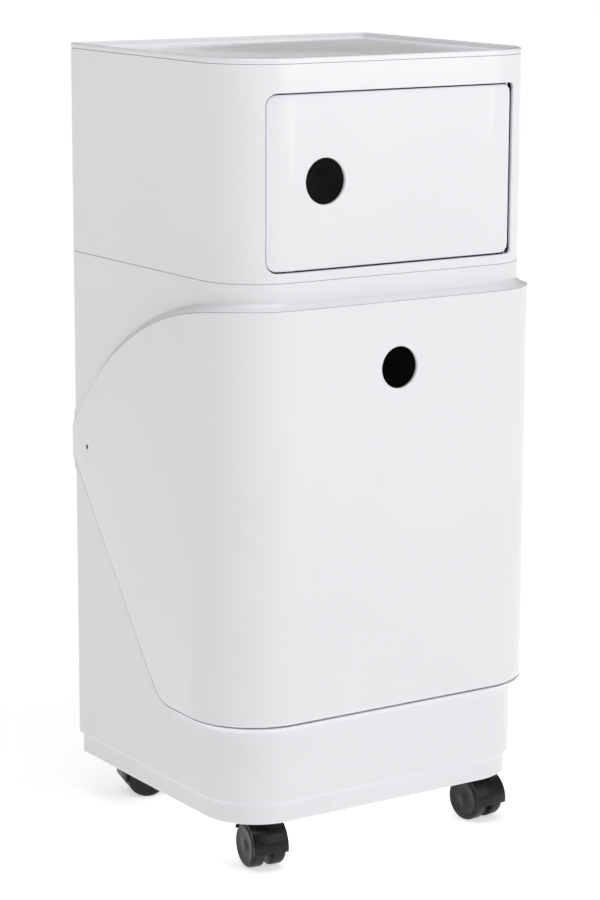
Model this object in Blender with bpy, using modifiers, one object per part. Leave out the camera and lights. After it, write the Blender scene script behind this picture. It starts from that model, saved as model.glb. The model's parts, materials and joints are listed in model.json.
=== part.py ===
"""Wheeled storage cabinet in glossy moulded plastic.

Two modules stand on a base tray with four swivel casters.  The upper module has a side-hung
door with a round finger hole, and the lower module has a tilt-out bin whose bulged front wraps
both rounded corners.  A shallow tray closes the top.

Metres, +Z up, floor at Z = 0, the front faces -Y.  The origin is on the floor at the middle of
the overall plan, bulged bin front included.
"""
from math import atan2, cos, pi, radians, sin, sqrt

import bmesh
import bpy
from mathutils import Matrix, Vector

# ---------------------------------------------------------------- plan and levels
WIDTH = 0.380
DEPTH = 0.332
HEIGHT = 0.830
FRONT_RADIUS = 0.066
REAR_RADIUS = 0.010
WALL = 0.0035
GAP = 0.0003

BASE_LOW = 0.0512
PLINTH_LOW = 0.079
MODULE_SEAM = 0.610
LID_SEAM = 0.8245
BASE_INSET = 0.0045

BULGE = 0.011
BULGE_REAR = 0.0022
BULGE_TAPER = 1.3
REAR_PLANE = (DEPTH + BULGE) / 2
FRONT_PLANE = REAR_PLANE - DEPTH

# ---------------------------------------------------------------- top tray
TRAY_RIM = 0.006
TRAY_DEPTH = 0.0055
TRAY_FLOOR = 0.0025
SKIRT_DROP = 0.0075
SKIRT_WALL = 0.003

# ---------------------------------------------------------------- door of the upper module
DOOR_OPENING_X = 0.151
DOOR_OPENING_LOW = 0.620
DOOR_OPENING_HIGH = 0.7965
DOOR_CORNER = 0.012
DOOR_HINGE_CORNER = 0.005
DOOR_EDGE_GAP = 0.0015
DOOR_HINGE_GAP = 0.003
DOOR_RECESS = 0.0025
DOOR_SKIN = 0.003
DOOR_FLANGE_DEPTH = 0.010
DOOR_FLANGE = 0.002
DOOR_HOLE_X = -0.0826
DOOR_HOLE_RADIUS = 0.0232
HINGE_X = 0.1445
HINGE_Y = FRONT_PLANE + 0.0095
HINGE_PIN_RADIUS = 0.0015
HINGE_BOSS_RADIUS = 0.0034
HINGE_BOSS_SETBACK = 0.0042
HINGE_BOSS_LENGTH = 0.014
HINGE_CLEARANCE = 0.0003
BUSH_HALF = 0.005
BUSH_BACK = 0.006

# ---------------------------------------------------------------- tilt-out bin
BULGE_LOW = 0.159
BIN_SKIN = 0.003
BIN_CLEARANCE = 0.0006
LIP_CLEARANCE = 0.0015
PIVOT_Y = FRONT_PLANE - 0.0055
PIVOT_Z = 0.1645
SECTOR_RADIUS = 0.4195
SECTOR_REAR_Y = REAR_PLANE - 0.004
SECTOR_REAR_LOW = 0.391
SECTOR_FOOT_Y = FRONT_PLANE + 0.134
SECTOR_FOOT_RADIUS = 0.045
BIN_HOLE_Z = 0.516
BIN_HOLE_RADIUS = 0.0215
BIN_TILT = radians(32)
BIN_TOE_CHAMFER = 0.0022

COLLAR_GAP = 0.0010
COLLAR_PROFILE = ((0.0, 1.0), (0.0016, 0.60), (0.0040, 0.28), (0.0085, 0.03))
COLLAR_ROOT = 0.0015

BIN_OPENING_X = 0.172
BIN_OPENING_LOW = 0.1583
BIN_OPENING_HIGH = 0.560
BIN_OPENING_CORNER = 0.008

BUCKET_X = 0.166
BUCKET_FRONT = FRONT_PLANE + 0.007
BUCKET_REAR = FRONT_PLANE + 0.261
BUCKET_LOW = 0.170
BUCKET_HIGH = 0.485
BUCKET_WALL = 0.0025
BUCKET_CORNER = 0.022
BUCKET_BOSS_X = 0.060
BUCKET_BOSS_LEVELS = (0.220, 0.440)
BUCKET_BOSS_RADIUS = 0.005

BIN_PIN_RADIUS = 0.00125
KNUCKLE_RADIUS = 0.0025
LUG_X = 0.0990
LUG_WIDTH = 0.0035
BRACKET_X = 0.1030
BRACKET_WIDTH = 0.003
BRACKET_NOTCH = 0.0004
BRACKET_FOOT_LOW = 0.116
BRACKET_FOOT_HIGH = 0.1545
BRACKET_FOOT_HALF = 0.012
BRACKET_SCREW_Z = 0.133
BRACKET_SCREW_SPREAD = 0.0075
SCREW_COVER = 0.0014

STOP_PIN_Y = FRONT_PLANE + 0.2936
STOP_PIN_Z = 0.402
STOP_PIN_END = WIDTH / 2 + 0.0026
STOP_PIN_RADIUS = 0.0025
STOP_SLOT_HALF = 0.0032
STOP_PIN_PLAY = 0.0006

# ---------------------------------------------------------------- screws
SCREW_RADIUS = 0.0018
SCREW_HEAD_RADIUS = 0.0036
SCREW_HEAD = 0.0022

# ---------------------------------------------------------------- base tray and casters
BASE_WALL = 0.003
BASE_PLATE_LOW = 0.0585
BASE_PLATE_HIGH = 0.0620
FRONT_CASTER_X = 0.1368
FRONT_CASTER_Y = FRONT_PLANE + 0.0479
REAR_CASTER_X = 0.108
REAR_CASTER_Y = REAR_PLANE - 0.0385
CASTER_TURNS = {"front_left": -8, "front_right": 5, "rear_left": -105, "rear_right": 80}
TRAIL = 0.016
WHEEL_RADIUS = 0.0235
WHEEL_WIDTH = 0.0145
WHEEL_EDGE = 0.0035
WEB_HALF = 0.0045
WHEEL_SIDE_GAP = 0.0004
AXLE_RADIUS = 0.0025
AXLE_HALF = 0.0145
HOOD_INNER = 0.0245
HOOD_OUTER = 0.0267
HOOD_LOW = 0.0195
HOOD_REAR = 0.0215
BOSS_RADIUS = 0.0075
BOSS_HIGH = 0.0535
STEM_RADIUS = 0.003
STEM_LOW = 0.036
STEM_HIGH = 0.0780
SOCKET_RADIUS = 0.0068
SOCKET_COLLAR = 0.0092
SOCKET_LOW = 0.0542
SOCKET_HIGH = 0.0812
BASE_SCREW_INSET = 0.034
BASE_SCREWS = (
    (0.0, FRONT_PLANE + BASE_SCREW_INSET),
    (0.0, REAR_PLANE - BASE_SCREW_INSET),
    (BASE_SCREW_INSET - WIDTH / 2, (FRONT_PLANE + REAR_PLANE) / 2),
    (WIDTH / 2 - BASE_SCREW_INSET, (FRONT_PLANE + REAR_PLANE) / 2),
)
BASE_POST_RADIUS = 0.005

# ---------------------------------------------------------------- facets
CORNER_STEPS = 10
SMALL_STEPS = 4
ROUND_SIDES = 20
HOLE_SIDES = 28
HOOD_SIDES = 32
ARC_STEPS = 12
FOOT_STEPS = 8
WHEEL_STEPS = 20
BORE_SIDES = 16
SCREW_SIDES = 12

ALONG_X = Matrix(((0, 0, 1, 0), (1, 0, 0, 0), (0, 1, 0, 0), (0, 0, 0, 1)))
ALONG_Y = Matrix(((1, 0, 0, 0), (0, 0, -1, 0), (0, 1, 0, 0), (0, 0, 0, 1)))
ALONG_Z = Matrix.Identity(4)


# ================================================================ scene and materials
def clear_scene():
    for thing in list(bpy.data.objects):
        bpy.data.objects.remove(thing, do_unlink=True)


def new_collection(name):
    collection = bpy.data.collections.new(name)
    bpy.context.scene.collection.children.link(collection)
    return collection


def new_material(name, colour, roughness, metallic=0.0):
    material = bpy.data.materials.new(name)
    material.use_nodes = True
    shader = material.node_tree.nodes["Principled BSDF"]
    shader.inputs["Base Color"].default_value = (*colour, 1.0)
    shader.inputs["Roughness"].default_value = roughness
    shader.inputs["Metallic"].default_value = metallic
    return material


clear_scene()
PARTS = new_collection("wheeled_storage_cabinet")
CUTTERS = new_collection("cutters")
GLOSS_WHITE = new_material("gloss_white_plastic", (0.84, 0.84, 0.85), 0.15)
BUCKET_GREY = new_material("satin_light_grey_plastic", (0.55, 0.55, 0.56), 0.35)
CASTER_BLACK = new_material("gloss_black_plastic", (0.012, 0.012, 0.014), 0.22)
TREAD_BLACK = new_material("wheel_black_plastic", (0.018, 0.018, 0.019), 0.45)
PIN_DARK = new_material("dark_nylon", (0.03, 0.03, 0.032), 0.4)
STEEL = new_material("zinc_steel", (0.62, 0.62, 0.60), 0.3, 1.0)


# ================================================================ shape helpers
def corner(centre_x, centre_y, radius, start, steps):
    """Points of a quarter arc that begins at the angle start and runs anticlockwise."""
    angles = [start + pi / 2 * step / steps for step in range(steps + 1)]
    return [(centre_x + radius * cos(angle), centre_y + radius * sin(angle)) for angle in angles]


def plan_outline(offset):
    """The cabinet's plan, moved outward by offset, with large front and small rear corners."""
    half_x = WIDTH / 2 + offset
    front_y = FRONT_PLANE - offset
    rear_y = REAR_PLANE + offset
    front = FRONT_RADIUS + offset
    rear = max(REAR_RADIUS + offset, 0.002)
    points = corner(half_x - rear, rear_y - rear, rear, 0, SMALL_STEPS)
    points += corner(-half_x + rear, rear_y - rear, rear, pi / 2, SMALL_STEPS)
    points += corner(-half_x + front, front_y + front, front, pi, CORNER_STEPS)
    points += corner(half_x - front, front_y + front, front, 1.5 * pi, CORNER_STEPS)
    return points


def round_rectangle(left, right, low, high, radius, right_radius=None):
    """A rectangle with round corners, which may have another radius on its right side."""
    other = radius if right_radius is None else right_radius
    points = corner(right - other, high - other, other, 0, SMALL_STEPS)
    points += corner(left + radius, high - radius, radius, pi / 2, SMALL_STEPS)
    points += corner(left + radius, low + radius, radius, pi, SMALL_STEPS)
    points += corner(right - other, low + other, other, 1.5 * pi, SMALL_STEPS)
    return points


def mesh_object(name, mesh):
    body = bpy.data.objects.new(name, mesh)
    PARTS.objects.link(body)
    return body


def slab(name, outline, low, high, turn=ALONG_Z):
    """A closed outline extruded from low to high along its own normal, then turned."""
    curve = bpy.data.curves.new(name, "CURVE")
    curve.dimensions = "2D"
    curve.fill_mode = "BOTH"
    curve.extrude = (high - low) / 2
    spline = curve.splines.new("POLY")
    spline.points.add(len(outline) - 1)
    for point, (across, up) in zip(spline.points, outline):
        point.co = (across, up, 0, 1)
    spline.use_cyclic_u = True
    holder = bpy.data.objects.new(name, curve)
    bpy.context.scene.collection.objects.link(holder)
    mesh = bpy.data.meshes.new_from_object(holder.evaluated_get(bpy.context.evaluated_depsgraph_get()))
    bpy.data.objects.remove(holder)
    mesh.transform(turn @ Matrix.Translation((0, 0, (low + high) / 2)))
    welded = bmesh.new()
    welded.from_mesh(mesh)
    bmesh.ops.remove_doubles(welded, verts=welded.verts, dist=1e-6)
    bmesh.ops.recalc_face_normals(welded, faces=welded.faces)
    welded.to_mesh(mesh)
    welded.free()
    return mesh_object(name, mesh)


def plan_slab(name, offset, low, high):
    return slab(name, plan_outline(offset), low, high)


def front_slab(name, outline, near, far):
    """An outline in X and Z, extruded in Y from near to far."""
    return slab(name, outline, -far, -near, ALONG_Y)


def side_slab(name, outline, left, right):
    """An outline in Y and Z, extruded in X from left to right."""
    return slab(name, outline, left, right, ALONG_X)


def box(name, low_corner, high_corner):
    low, high = Vector(low_corner), Vector(high_corner)
    mesh = bpy.data.meshes.new(name)
    cube = bmesh.new()
    bmesh.ops.create_cube(cube, size=1.0)
    size = high - low
    place = Matrix.Translation((low + high) / 2) @ Matrix.Diagonal((*size, 1.0))
    bmesh.ops.transform(cube, matrix=place, verts=cube.verts)
    cube.to_mesh(mesh)
    cube.free()
    return mesh_object(name, mesh)


def rod(name, radius, start, end, sides=ROUND_SIDES):
    """A capped cylinder between two points."""
    start, end = Vector(start), Vector(end)
    run = end - start
    mesh = bpy.data.meshes.new(name)
    cone = bmesh.new()
    bmesh.ops.create_cone(
        cone, cap_ends=True, segments=sides, radius1=radius, radius2=radius, depth=run.length
    )
    turn = Vector((0, 0, 1)).rotation_difference(run).to_matrix().to_4x4()
    bmesh.ops.transform(cone, matrix=Matrix.Translation((start + end) / 2) @ turn, verts=cone.verts)
    cone.to_mesh(mesh)
    cone.free()
    return mesh_object(name, mesh)


def turned(name, profile, place, steps=ROUND_SIDES):
    """A profile of radius and height, turned about its own Z axis and then placed."""
    mesh = bpy.data.meshes.new(name)
    line = bmesh.new()
    points = [line.verts.new((radius, 0, height)) for radius, height in profile]
    for first, second in zip(points, points[1:]):
        line.edges.new((first, second))
    line.to_mesh(mesh)
    line.free()
    body = mesh_object(name, mesh)
    screw = body.modifiers.new("Turn", "SCREW")
    screw.axis = "Z"
    screw.steps = steps
    screw.render_steps = steps
    screw.use_merge_vertices = True
    screw.merge_threshold = 0.00001
    body.matrix_world = place
    return body


def combine(target, others, operation):
    """Boolean modifiers on target, with each other body kept as a hidden cutter."""
    for other in others:
        PARTS.objects.unlink(other)
        CUTTERS.objects.link(other)
        other.hide_render = True
        other.display_type = "WIRE"
        modifier = target.modifiers.new(operation.title(), "BOOLEAN")
        modifier.operation = operation
        modifier.solver = "EXACT"
        modifier.object = other
    return target


def cut(target, *cutters):
    return combine(target, cutters, "DIFFERENCE")


def keep(target, *limits):
    return combine(target, limits, "INTERSECT")


def join(target, *pieces):
    return combine(target, pieces, "UNION")


def finish(body, material, parent=None):
    """Give a body its material, smooth its round faces and parent it where it stands."""
    body.data.materials.clear()
    body.data.materials.append(material)
    body.data.shade_smooth()
    smooth = getattr(body.data, "set_sharp_from_angle", None)
    if smooth:
        smooth(angle=radians(35))
    if parent:
        body.parent = parent
        body.matrix_parent_inverse = parent.matrix_basis.inverted()
    return body


def joint_empty(name, place, parent=None):
    """An empty whose Z axis lies on a joint's axis."""
    empty = bpy.data.objects.new(name, None)
    empty.empty_display_size = 0.03
    PARTS.objects.link(empty)
    empty.matrix_basis = place
    if parent:
        empty.parent = parent
        empty.matrix_parent_inverse = parent.matrix_basis.inverted()
    return empty


def screw(name, tip, head, material=STEEL):
    """A plain screw from its tip to the underside of its head, with a round head beyond."""
    tip, head = Vector(tip), Vector(head)
    along = (head - tip).normalized()
    length = (head - tip).length
    profile = [
        (0, length + SCREW_HEAD),
        (SCREW_HEAD_RADIUS * 0.7, length + SCREW_HEAD),
        (SCREW_HEAD_RADIUS, length + SCREW_HEAD * 0.45),
        (SCREW_HEAD_RADIUS, length),
        (SCREW_RADIUS, length),
        (SCREW_RADIUS, 0),
        (0, 0),
    ]
    turn = Vector((0, 0, 1)).rotation_difference(along).to_matrix().to_4x4()
    return turned(name, profile, Matrix.Translation(tip) @ turn, 12)


# ================================================================ cases and trays
def build_top_tray():
    floor_top = HEIGHT - TRAY_DEPTH
    tray = plan_slab("top_tray", 0, LID_SEAM + GAP, HEIGHT)
    join(tray, plan_slab("tray_skirt", -WALL - GAP, LID_SEAM - SKIRT_DROP, LID_SEAM + 0.001))
    cut(
        tray,
        plan_slab("tray_recess", -TRAY_RIM, floor_top, HEIGHT + 0.01),
        plan_slab(
            "tray_underside", -WALL - GAP - SKIRT_WALL, LID_SEAM - 0.02, floor_top - TRAY_FLOOR
        ),
    )
    return finish(tray, GLOSS_WHITE)


def build_upper_case():
    floor_low = MODULE_SEAM + GAP
    case = plan_slab("upper_case", 0, floor_low, LID_SEAM)
    spigot = plan_slab("upper_spigot", -WALL - GAP, MODULE_SEAM - 0.008, floor_low + 0.001)
    join(case, spigot)
    opening = round_rectangle(
        -DOOR_OPENING_X, DOOR_OPENING_X, DOOR_OPENING_LOW, DOOR_OPENING_HIGH, DOOR_CORNER, DOOR_HINGE_CORNER
    )
    cut(
        case,
        plan_slab("upper_hollow", -WALL, floor_low + WALL, LID_SEAM + 0.01),
        plan_slab("spigot_hollow", -WALL - GAP - SKIRT_WALL, MODULE_SEAM - 0.02, floor_low),
        front_slab("door_opening", opening, FRONT_PLANE - 0.02, FRONT_PLANE + 0.04),
    )
    return finish(case, GLOSS_WHITE)


def build_lower_case():
    floor_low = PLINTH_LOW + WALL
    case = plan_slab("lower_case", 0, PLINTH_LOW, MODULE_SEAM)
    join(case, *build_collar())
    opening = round_rectangle(
        -BIN_OPENING_X, BIN_OPENING_X, BIN_OPENING_LOW, BIN_OPENING_HIGH, BIN_OPENING_CORNER
    )
    cut(
        case,
        plan_slab("lower_hollow", -WALL, floor_low + WALL, MODULE_SEAM + 0.01),
        plan_slab("lower_recess", -WALL, PLINTH_LOW - 0.01, floor_low),
        front_slab("bin_opening", opening, FRONT_PLANE - 0.02, FRONT_PLANE + 0.05),
        side_slab("stop_slot_left", stop_slot_outline(), -WIDTH / 2 - 0.01, -WIDTH / 2 + 0.01),
        side_slab("stop_slot_right", stop_slot_outline(), WIDTH / 2 - 0.01, WIDTH / 2 + 0.01),
    )
    for index, (x, y) in enumerate(BASE_SCREWS):
        hole = (x, y, floor_low - 0.01), (x, y, floor_low + 0.01)
        cut(case, rod(f"floor_hole_{index}", SCREW_RADIUS + GAP, *hole, sides=SCREW_SIDES))
    for x in bracket_screw_places(-1) + bracket_screw_places(1):
        hole = (x, FRONT_PLANE + SCREW_COVER, BRACKET_SCREW_Z), (x, FRONT_PLANE + 0.01, BRACKET_SCREW_Z)
        cut(case, rod("bracket_screw_hole", SCREW_RADIUS + GAP, *hole, sides=SCREW_SIDES))
    return finish(case, GLOSS_WHITE)


def bulge_at(y):
    """How far the bin stands off the case at y: fully round the front, then less and less to the rear."""
    share = (y - FRONT_PLANE - FRONT_RADIUS) / (SECTOR_REAR_Y - FRONT_PLANE - FRONT_RADIUS)
    return BULGE - (BULGE - BULGE_REAR) * min(max(share, 0.0), 1.0) ** BULGE_TAPER


def side_path(share, sink, straight):
    """Points round the front, a share of the bulge off the case and less sink, from rear left to rear right."""
    centre_y = FRONT_PLANE + FRONT_RADIUS
    radius = FRONT_RADIUS + share * BULGE - sink
    points = [(-WIDTH / 2 - share * bulge_at(y) + sink, y) for y in straight]
    points += corner(-WIDTH / 2 + FRONT_RADIUS, centre_y, radius, pi, CORNER_STEPS)
    return points + [(-x, y) for x, y in reversed(points)]


def bulge_outline(inset):
    """The bin's plan, less inset, open to the rear beyond its wings."""
    return side_path(1.0, inset, [REAR_PLANE + 0.02] + top_stations())


def foot_shape():
    """The slope's direction and angle, and the centre of the round foot below it."""
    slope = Vector((SECTOR_REAR_Y - SECTOR_FOOT_Y, SECTOR_REAR_LOW - BULGE_LOW)).normalized()
    turn = atan2(slope.y, slope.x)
    centre_y = SECTOR_FOOT_Y - SECTOR_FOOT_RADIUS * (1 - cos(turn)) / sin(turn)
    return slope, turn, Vector((centre_y, BULGE_LOW + SECTOR_FOOT_RADIUS))


def sector_top(y, grow):
    """Height of the sector's upper edge at y: level at the front, then an arc about the pivot."""
    radius = SECTOR_RADIUS + grow
    return PIVOT_Z + sqrt(radius ** 2 - max(0.0, y - PIVOT_Y) ** 2)


def sector_bottom(y, grow):
    """Height of the sector's lower edge at y: a level toe, a round foot and a straight slope."""
    slope, turn, centre = foot_shape()
    radius = SECTOR_FOOT_RADIUS + grow
    reach = y - centre.x
    if reach < 0:
        return centre.y - radius
    if reach < radius * sin(turn):
        return centre.y - sqrt(radius ** 2 - reach ** 2)
    return centre.y - radius * cos(turn) + (reach - radius * sin(turn)) * slope.y / slope.x


def top_stations():
    run = SECTOR_REAR_Y - FRONT_PLANE - FRONT_RADIUS
    return [SECTOR_REAR_Y - run * step / ARC_STEPS for step in range(ARC_STEPS)]


def foot_stations():
    """Stations of the lower edge, from the rear to the front, close together round the foot."""
    _, turn, centre = foot_shape()
    reach = (SECTOR_FOOT_RADIUS + COLLAR_PROFILE[-1][0]) * sin(turn)
    return [SECTOR_REAR_Y] + [centre.x + reach * (1 - step / FOOT_STEPS) for step in range(FOOT_STEPS + 1)]


def collar_band(name, edge, stations):
    """A closed loft that flares the case out, in a hollow curve, to one edge of the bulged bin."""
    sections = [(COLLAR_GAP + grow, share, 0.0) for grow, share in COLLAR_PROFILE]
    sections += [(sections[-1][0], 0.0, COLLAR_ROOT), (COLLAR_GAP, 0.0, COLLAR_ROOT)]
    loft = bmesh.new()
    rows = []
    for grow, share, sink in sections:
        points = [(x, y, edge(y, grow)) for x, y in side_path(share, sink, stations)]
        rows.append([loft.verts.new(point) for point in points])
    for first, second in zip(rows, rows[1:] + rows[:1]):
        for index in range(len(first) - 1):
            loft.faces.new((first[index], first[index + 1], second[index + 1], second[index]))
    loft.faces.new([row[0] for row in rows])
    loft.faces.new([row[-1] for row in rows])
    bmesh.ops.recalc_face_normals(loft, faces=loft.faces)
    mesh = bpy.data.meshes.new(name)
    loft.to_mesh(mesh)
    loft.free()
    return mesh_object(name, mesh)


def build_collar():
    return [
        collar_band("bin_collar_top", sector_top, top_stations()),
        collar_band("bin_collar_bottom", sector_bottom, foot_stations()),
    ]


def bracket_screw_places(side):
    """The two screws of one hinge bracket stand either side of its rib."""
    middle = side * (BRACKET_X + BRACKET_WIDTH / 2)
    return [middle - BRACKET_SCREW_SPREAD, middle + BRACKET_SCREW_SPREAD]


def stop_slot_outline():
    """The curved slot in the case's side, whose ends stop the pin of the bin that runs in it."""
    reach = Vector((STOP_PIN_Y - PIVOT_Y, STOP_PIN_Z - PIVOT_Z))
    margin = (STOP_PIN_RADIUS + STOP_PIN_PLAY) / reach.length
    start = atan2(reach.y, reach.x) - margin
    end = start + BIN_TILT + 2 * margin
    steps = 14
    angles = [start + (end - start) * step / steps for step in range(steps + 1)]
    outer = reach.length + STOP_SLOT_HALF
    inner = reach.length - STOP_SLOT_HALF
    points = [(PIVOT_Y + outer * cos(angle), PIVOT_Z + outer * sin(angle)) for angle in angles]
    points += [
        (PIVOT_Y + inner * cos(angle), PIVOT_Z + inner * sin(angle)) for angle in reversed(angles)
    ]
    return points


# ================================================================ door
def build_door(hinge):
    left = -DOOR_OPENING_X + DOOR_EDGE_GAP
    right = DOOR_OPENING_X - DOOR_HINGE_GAP
    low = DOOR_OPENING_LOW + DOOR_EDGE_GAP
    high = DOOR_OPENING_HIGH - DOOR_EDGE_GAP
    radius = DOOR_CORNER - DOOR_EDGE_GAP
    near, far = FRONT_PLANE - 0.02, FRONT_PLANE + 0.045
    flange_back = -DOOR_RECESS - DOOR_FLANGE_DEPTH
    door = plan_slab("door_panel", -DOOR_RECESS, low, high)
    keep(door, front_slab("door_outline", round_rectangle(left, right, low, high, radius), near, far))
    hollow = plan_slab("door_hollow", -DOOR_RECESS - DOOR_SKIN, low - 0.01, high + 0.01)
    inner = round_rectangle(
        left + DOOR_FLANGE, right - DOOR_FLANGE, low + DOOR_FLANGE, high - DOOR_FLANGE,
        radius - DOOR_FLANGE,
    )
    keep(hollow, front_slab("door_hollow_outline", inner, near, far + 0.01))
    cut(door, plan_slab("door_back", flange_back, low - 0.01, high + 0.01), hollow)
    middle = (low + high) / 2
    for end, direction in ((low, 1), (high, -1)):
        boss_end = end + direction * HINGE_BOSS_LENGTH
        boss_start = end + direction * HINGE_BOSS_SETBACK
        axis = (HINGE_X, HINGE_Y, boss_start), (HINGE_X, HINGE_Y, boss_end)
        join(door, rod("hinge_boss", HINGE_BOSS_RADIUS, *axis))
        start = (HINGE_X, HINGE_Y, end - direction * 0.01)
        stop = (HINGE_X, HINGE_Y, boss_end - direction * 0.001)
        cut(door, rod("hinge_bore", HINGE_PIN_RADIUS + HINGE_CLEARANCE, start, stop, sides=BORE_SIDES))
    finger = (DOOR_HOLE_X, near, middle), (DOOR_HOLE_X, far, middle)
    cut(door, rod("door_finger_hole", DOOR_HOLE_RADIUS, *finger, sides=HOLE_SIDES))
    return finish(door, GLOSS_WHITE, hinge)


def build_door_hinge(hinge):
    """Two pins carried by the door, each in a bush fixed inside the case."""
    low = DOOR_OPENING_LOW + DOOR_EDGE_GAP
    high = DOOR_OPENING_HIGH - DOOR_EDGE_GAP
    floor = MODULE_SEAM + GAP + WALL
    reach = HINGE_BOSS_LENGTH - 0.0014
    pins = (("door_pin_lower", floor + 2 * GAP, low + reach), ("door_pin_upper", high - reach, high + 0.0085))
    for name, bottom, top in pins:
        pin = rod(name, HINGE_PIN_RADIUS, (HINGE_X, HINGE_Y, bottom), (HINGE_X, HINGE_Y, top), BORE_SIDES)
        finish(pin, STEEL, hinge)
    bushes = (
        ("door_bush_lower", floor + GAP, DOOR_OPENING_LOW - 0.0005),
        ("door_bush_upper", DOOR_OPENING_HIGH + 0.0005, high + 0.0095),
    )
    for name, bottom, top in bushes:
        bush = box(
            name,
            (HINGE_X - BUSH_HALF, HINGE_Y - BUSH_HALF, bottom),
            (HINGE_X + BUSH_HALF, HINGE_Y + BUSH_BACK, top),
        )
        keep(bush, plan_slab("bush_limit", -WALL - GAP, bottom - 0.01, top + 0.01))
        bore = (HINGE_X, HINGE_Y, bottom - 0.01), (HINGE_X, HINGE_Y, top + 0.01)
        cut(bush, rod("bush_bore", HINGE_PIN_RADIUS + HINGE_CLEARANCE, *bore, sides=BORE_SIDES))
        finish(bush, PIN_DARK)


def build_door_stops():
    """A catch behind the free edge and two stops that the door's flange closes on."""
    behind = FRONT_PLANE + DOOR_RECESS + DOOR_FLANGE_DEPTH + GAP
    wall_y = FRONT_PLANE + WALL + GAP
    floor = MODULE_SEAM + GAP + WALL + GAP
    for name, x in (("door_catch", -0.142), ("door_stop_lower", -0.118)):
        shift = 0.0068 if name == "door_catch" else 0.0
        rise = 0.016 if name == "door_catch" else 0.0125
        stop = box(name, (x - 0.006, behind + shift, floor), (x + 0.006, behind + shift + 0.006, floor + rise))
        foot = box("stop_foot", (x - 0.006, behind + shift, floor), (x + 0.006, behind + 0.022, floor + 0.003))
        finish(join(stop, foot), BUCKET_GREY)
    upper = box(
        "door_stop_upper",
        (-0.124, wall_y, DOOR_OPENING_HIGH + 0.0005),
        (-0.112, behind + 0.006, DOOR_OPENING_HIGH + 0.009),
    )
    lip = box(
        "stop_lip", (-0.124, behind, DOOR_OPENING_HIGH - 0.006), (-0.112, behind + 0.006, DOOR_OPENING_HIGH + 0.001)
    )
    finish(join(upper, lip), BUCKET_GREY)


# ================================================================ tilt-out bin
def sector_outline(inset):
    """The side shape of the bin's front, seen along X: round top, rear edge, slope, foot and toe."""
    rear_y = SECTOR_REAR_Y - inset
    run = rear_y - PIVOT_Y
    across = [rear_y - run * step / (2 * ARC_STEPS) for step in range(2 * ARC_STEPS + 1)]
    points = [(y, sector_top(y, -inset)) for y in across]
    far_front = FRONT_PLANE - BULGE - 0.01
    chamfer = BIN_TOE_CHAMFER + 0.01
    low = BULGE_LOW + inset
    top = PIVOT_Z + SECTOR_RADIUS - inset
    points += [(far_front, top), (far_front, low + chamfer), (far_front + chamfer, low)]
    levels = [y for y in reversed(foot_stations()) if y < rear_y] + [rear_y]
    return points + [(y, sector_bottom(y, -inset)) for y in levels]


def build_bin_front(tilt):
    low, high = BULGE_LOW - 0.01, PIVOT_Z + SECTOR_RADIUS + 0.01
    half = WIDTH / 2 + BULGE + 0.01
    beside = WIDTH / 2 + BIN_CLEARANCE
    front = slab("bin_front", bulge_outline(0.0), low, high)
    keep(front, side_slab("bin_sector", sector_outline(0), -half, half))
    hollow = slab("bin_hollow", bulge_outline(BIN_SKIN), low, high)
    keep(hollow, side_slab("bin_sector_inner", sector_outline(BIN_SKIN), -half, half))
    cut(
        front,
        hollow,
        plan_slab("bin_case_space", BIN_CLEARANCE, low - 0.01, high + 0.01),
        plan_slab("bin_lip_space", LIP_CLEARANCE, low - 0.01, BULGE_LOW + BIN_SKIN + 0.0006),
        box("bin_rear_space", (-beside, REAR_PLANE - 0.05, low), (beside, REAR_PLANE + 0.01, high)),
    )
    skin_y = FRONT_PLANE - BULGE + BIN_SKIN
    for side in (-1, 1):
        notch = sorted((side * (BRACKET_X - BRACKET_NOTCH), side * (BRACKET_X + BRACKET_WIDTH + 0.001)))
        notch_low, notch_high = (notch[0], skin_y, BULGE_LOW - 0.002), (notch[1], FRONT_PLANE, PIVOT_Z - 0.001)
        cut(front, box("bracket_notch", notch_low, notch_high))
        for level in BUCKET_BOSS_LEVELS:
            x = side * BUCKET_BOSS_X
            post = (x, skin_y - 0.001, level), (x, BUCKET_FRONT - GAP, level)
            join(front, rod("bucket_boss", BUCKET_BOSS_RADIUS, *post, sides=BORE_SIDES))
            bore = (x, skin_y + 0.002, level), (x, BUCKET_FRONT + 0.01, level)
            cut(front, rod("bucket_boss_bore", SCREW_RADIUS + GAP, *bore, sides=SCREW_SIDES))
        x_near = side * LUG_X
        x_far = side * (LUG_X + LUG_WIDTH)
        left, right = sorted((x_near, x_far))
        knuckle = rod("bin_knuckle", KNUCKLE_RADIUS, (left, PIVOT_Y, PIVOT_Z), (right, PIVOT_Y, PIVOT_Z))
        arm = box(
            "bin_lug", (left, skin_y - 0.001, PIVOT_Z - KNUCKLE_RADIUS * 0.9), (right, PIVOT_Y, PIVOT_Z + 0.012)
        )
        bore = (left - 0.001, PIVOT_Y, PIVOT_Z), (right + 0.001, PIVOT_Y, PIVOT_Z)
        join(front, knuckle, arm)
        cut(front, rod("bin_lug_bore", BIN_PIN_RADIUS + HINGE_CLEARANCE, *bore, sides=BORE_SIDES))
        wing = (side * (WIDTH / 2 - 0.001), STOP_PIN_Y, STOP_PIN_Z), (side * half, STOP_PIN_Y, STOP_PIN_Z)
        cut(front, rod("stop_pin_hole", STOP_PIN_RADIUS + GAP, *wing, sides=BORE_SIDES))
    finger = (0, FRONT_PLANE - 0.03, BIN_HOLE_Z), (0, FRONT_PLANE + 0.01, BIN_HOLE_Z)
    cut(front, rod("bin_finger_hole", BIN_HOLE_RADIUS, *finger, sides=HOLE_SIDES))
    return finish(front, GLOSS_WHITE, tilt)


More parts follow.
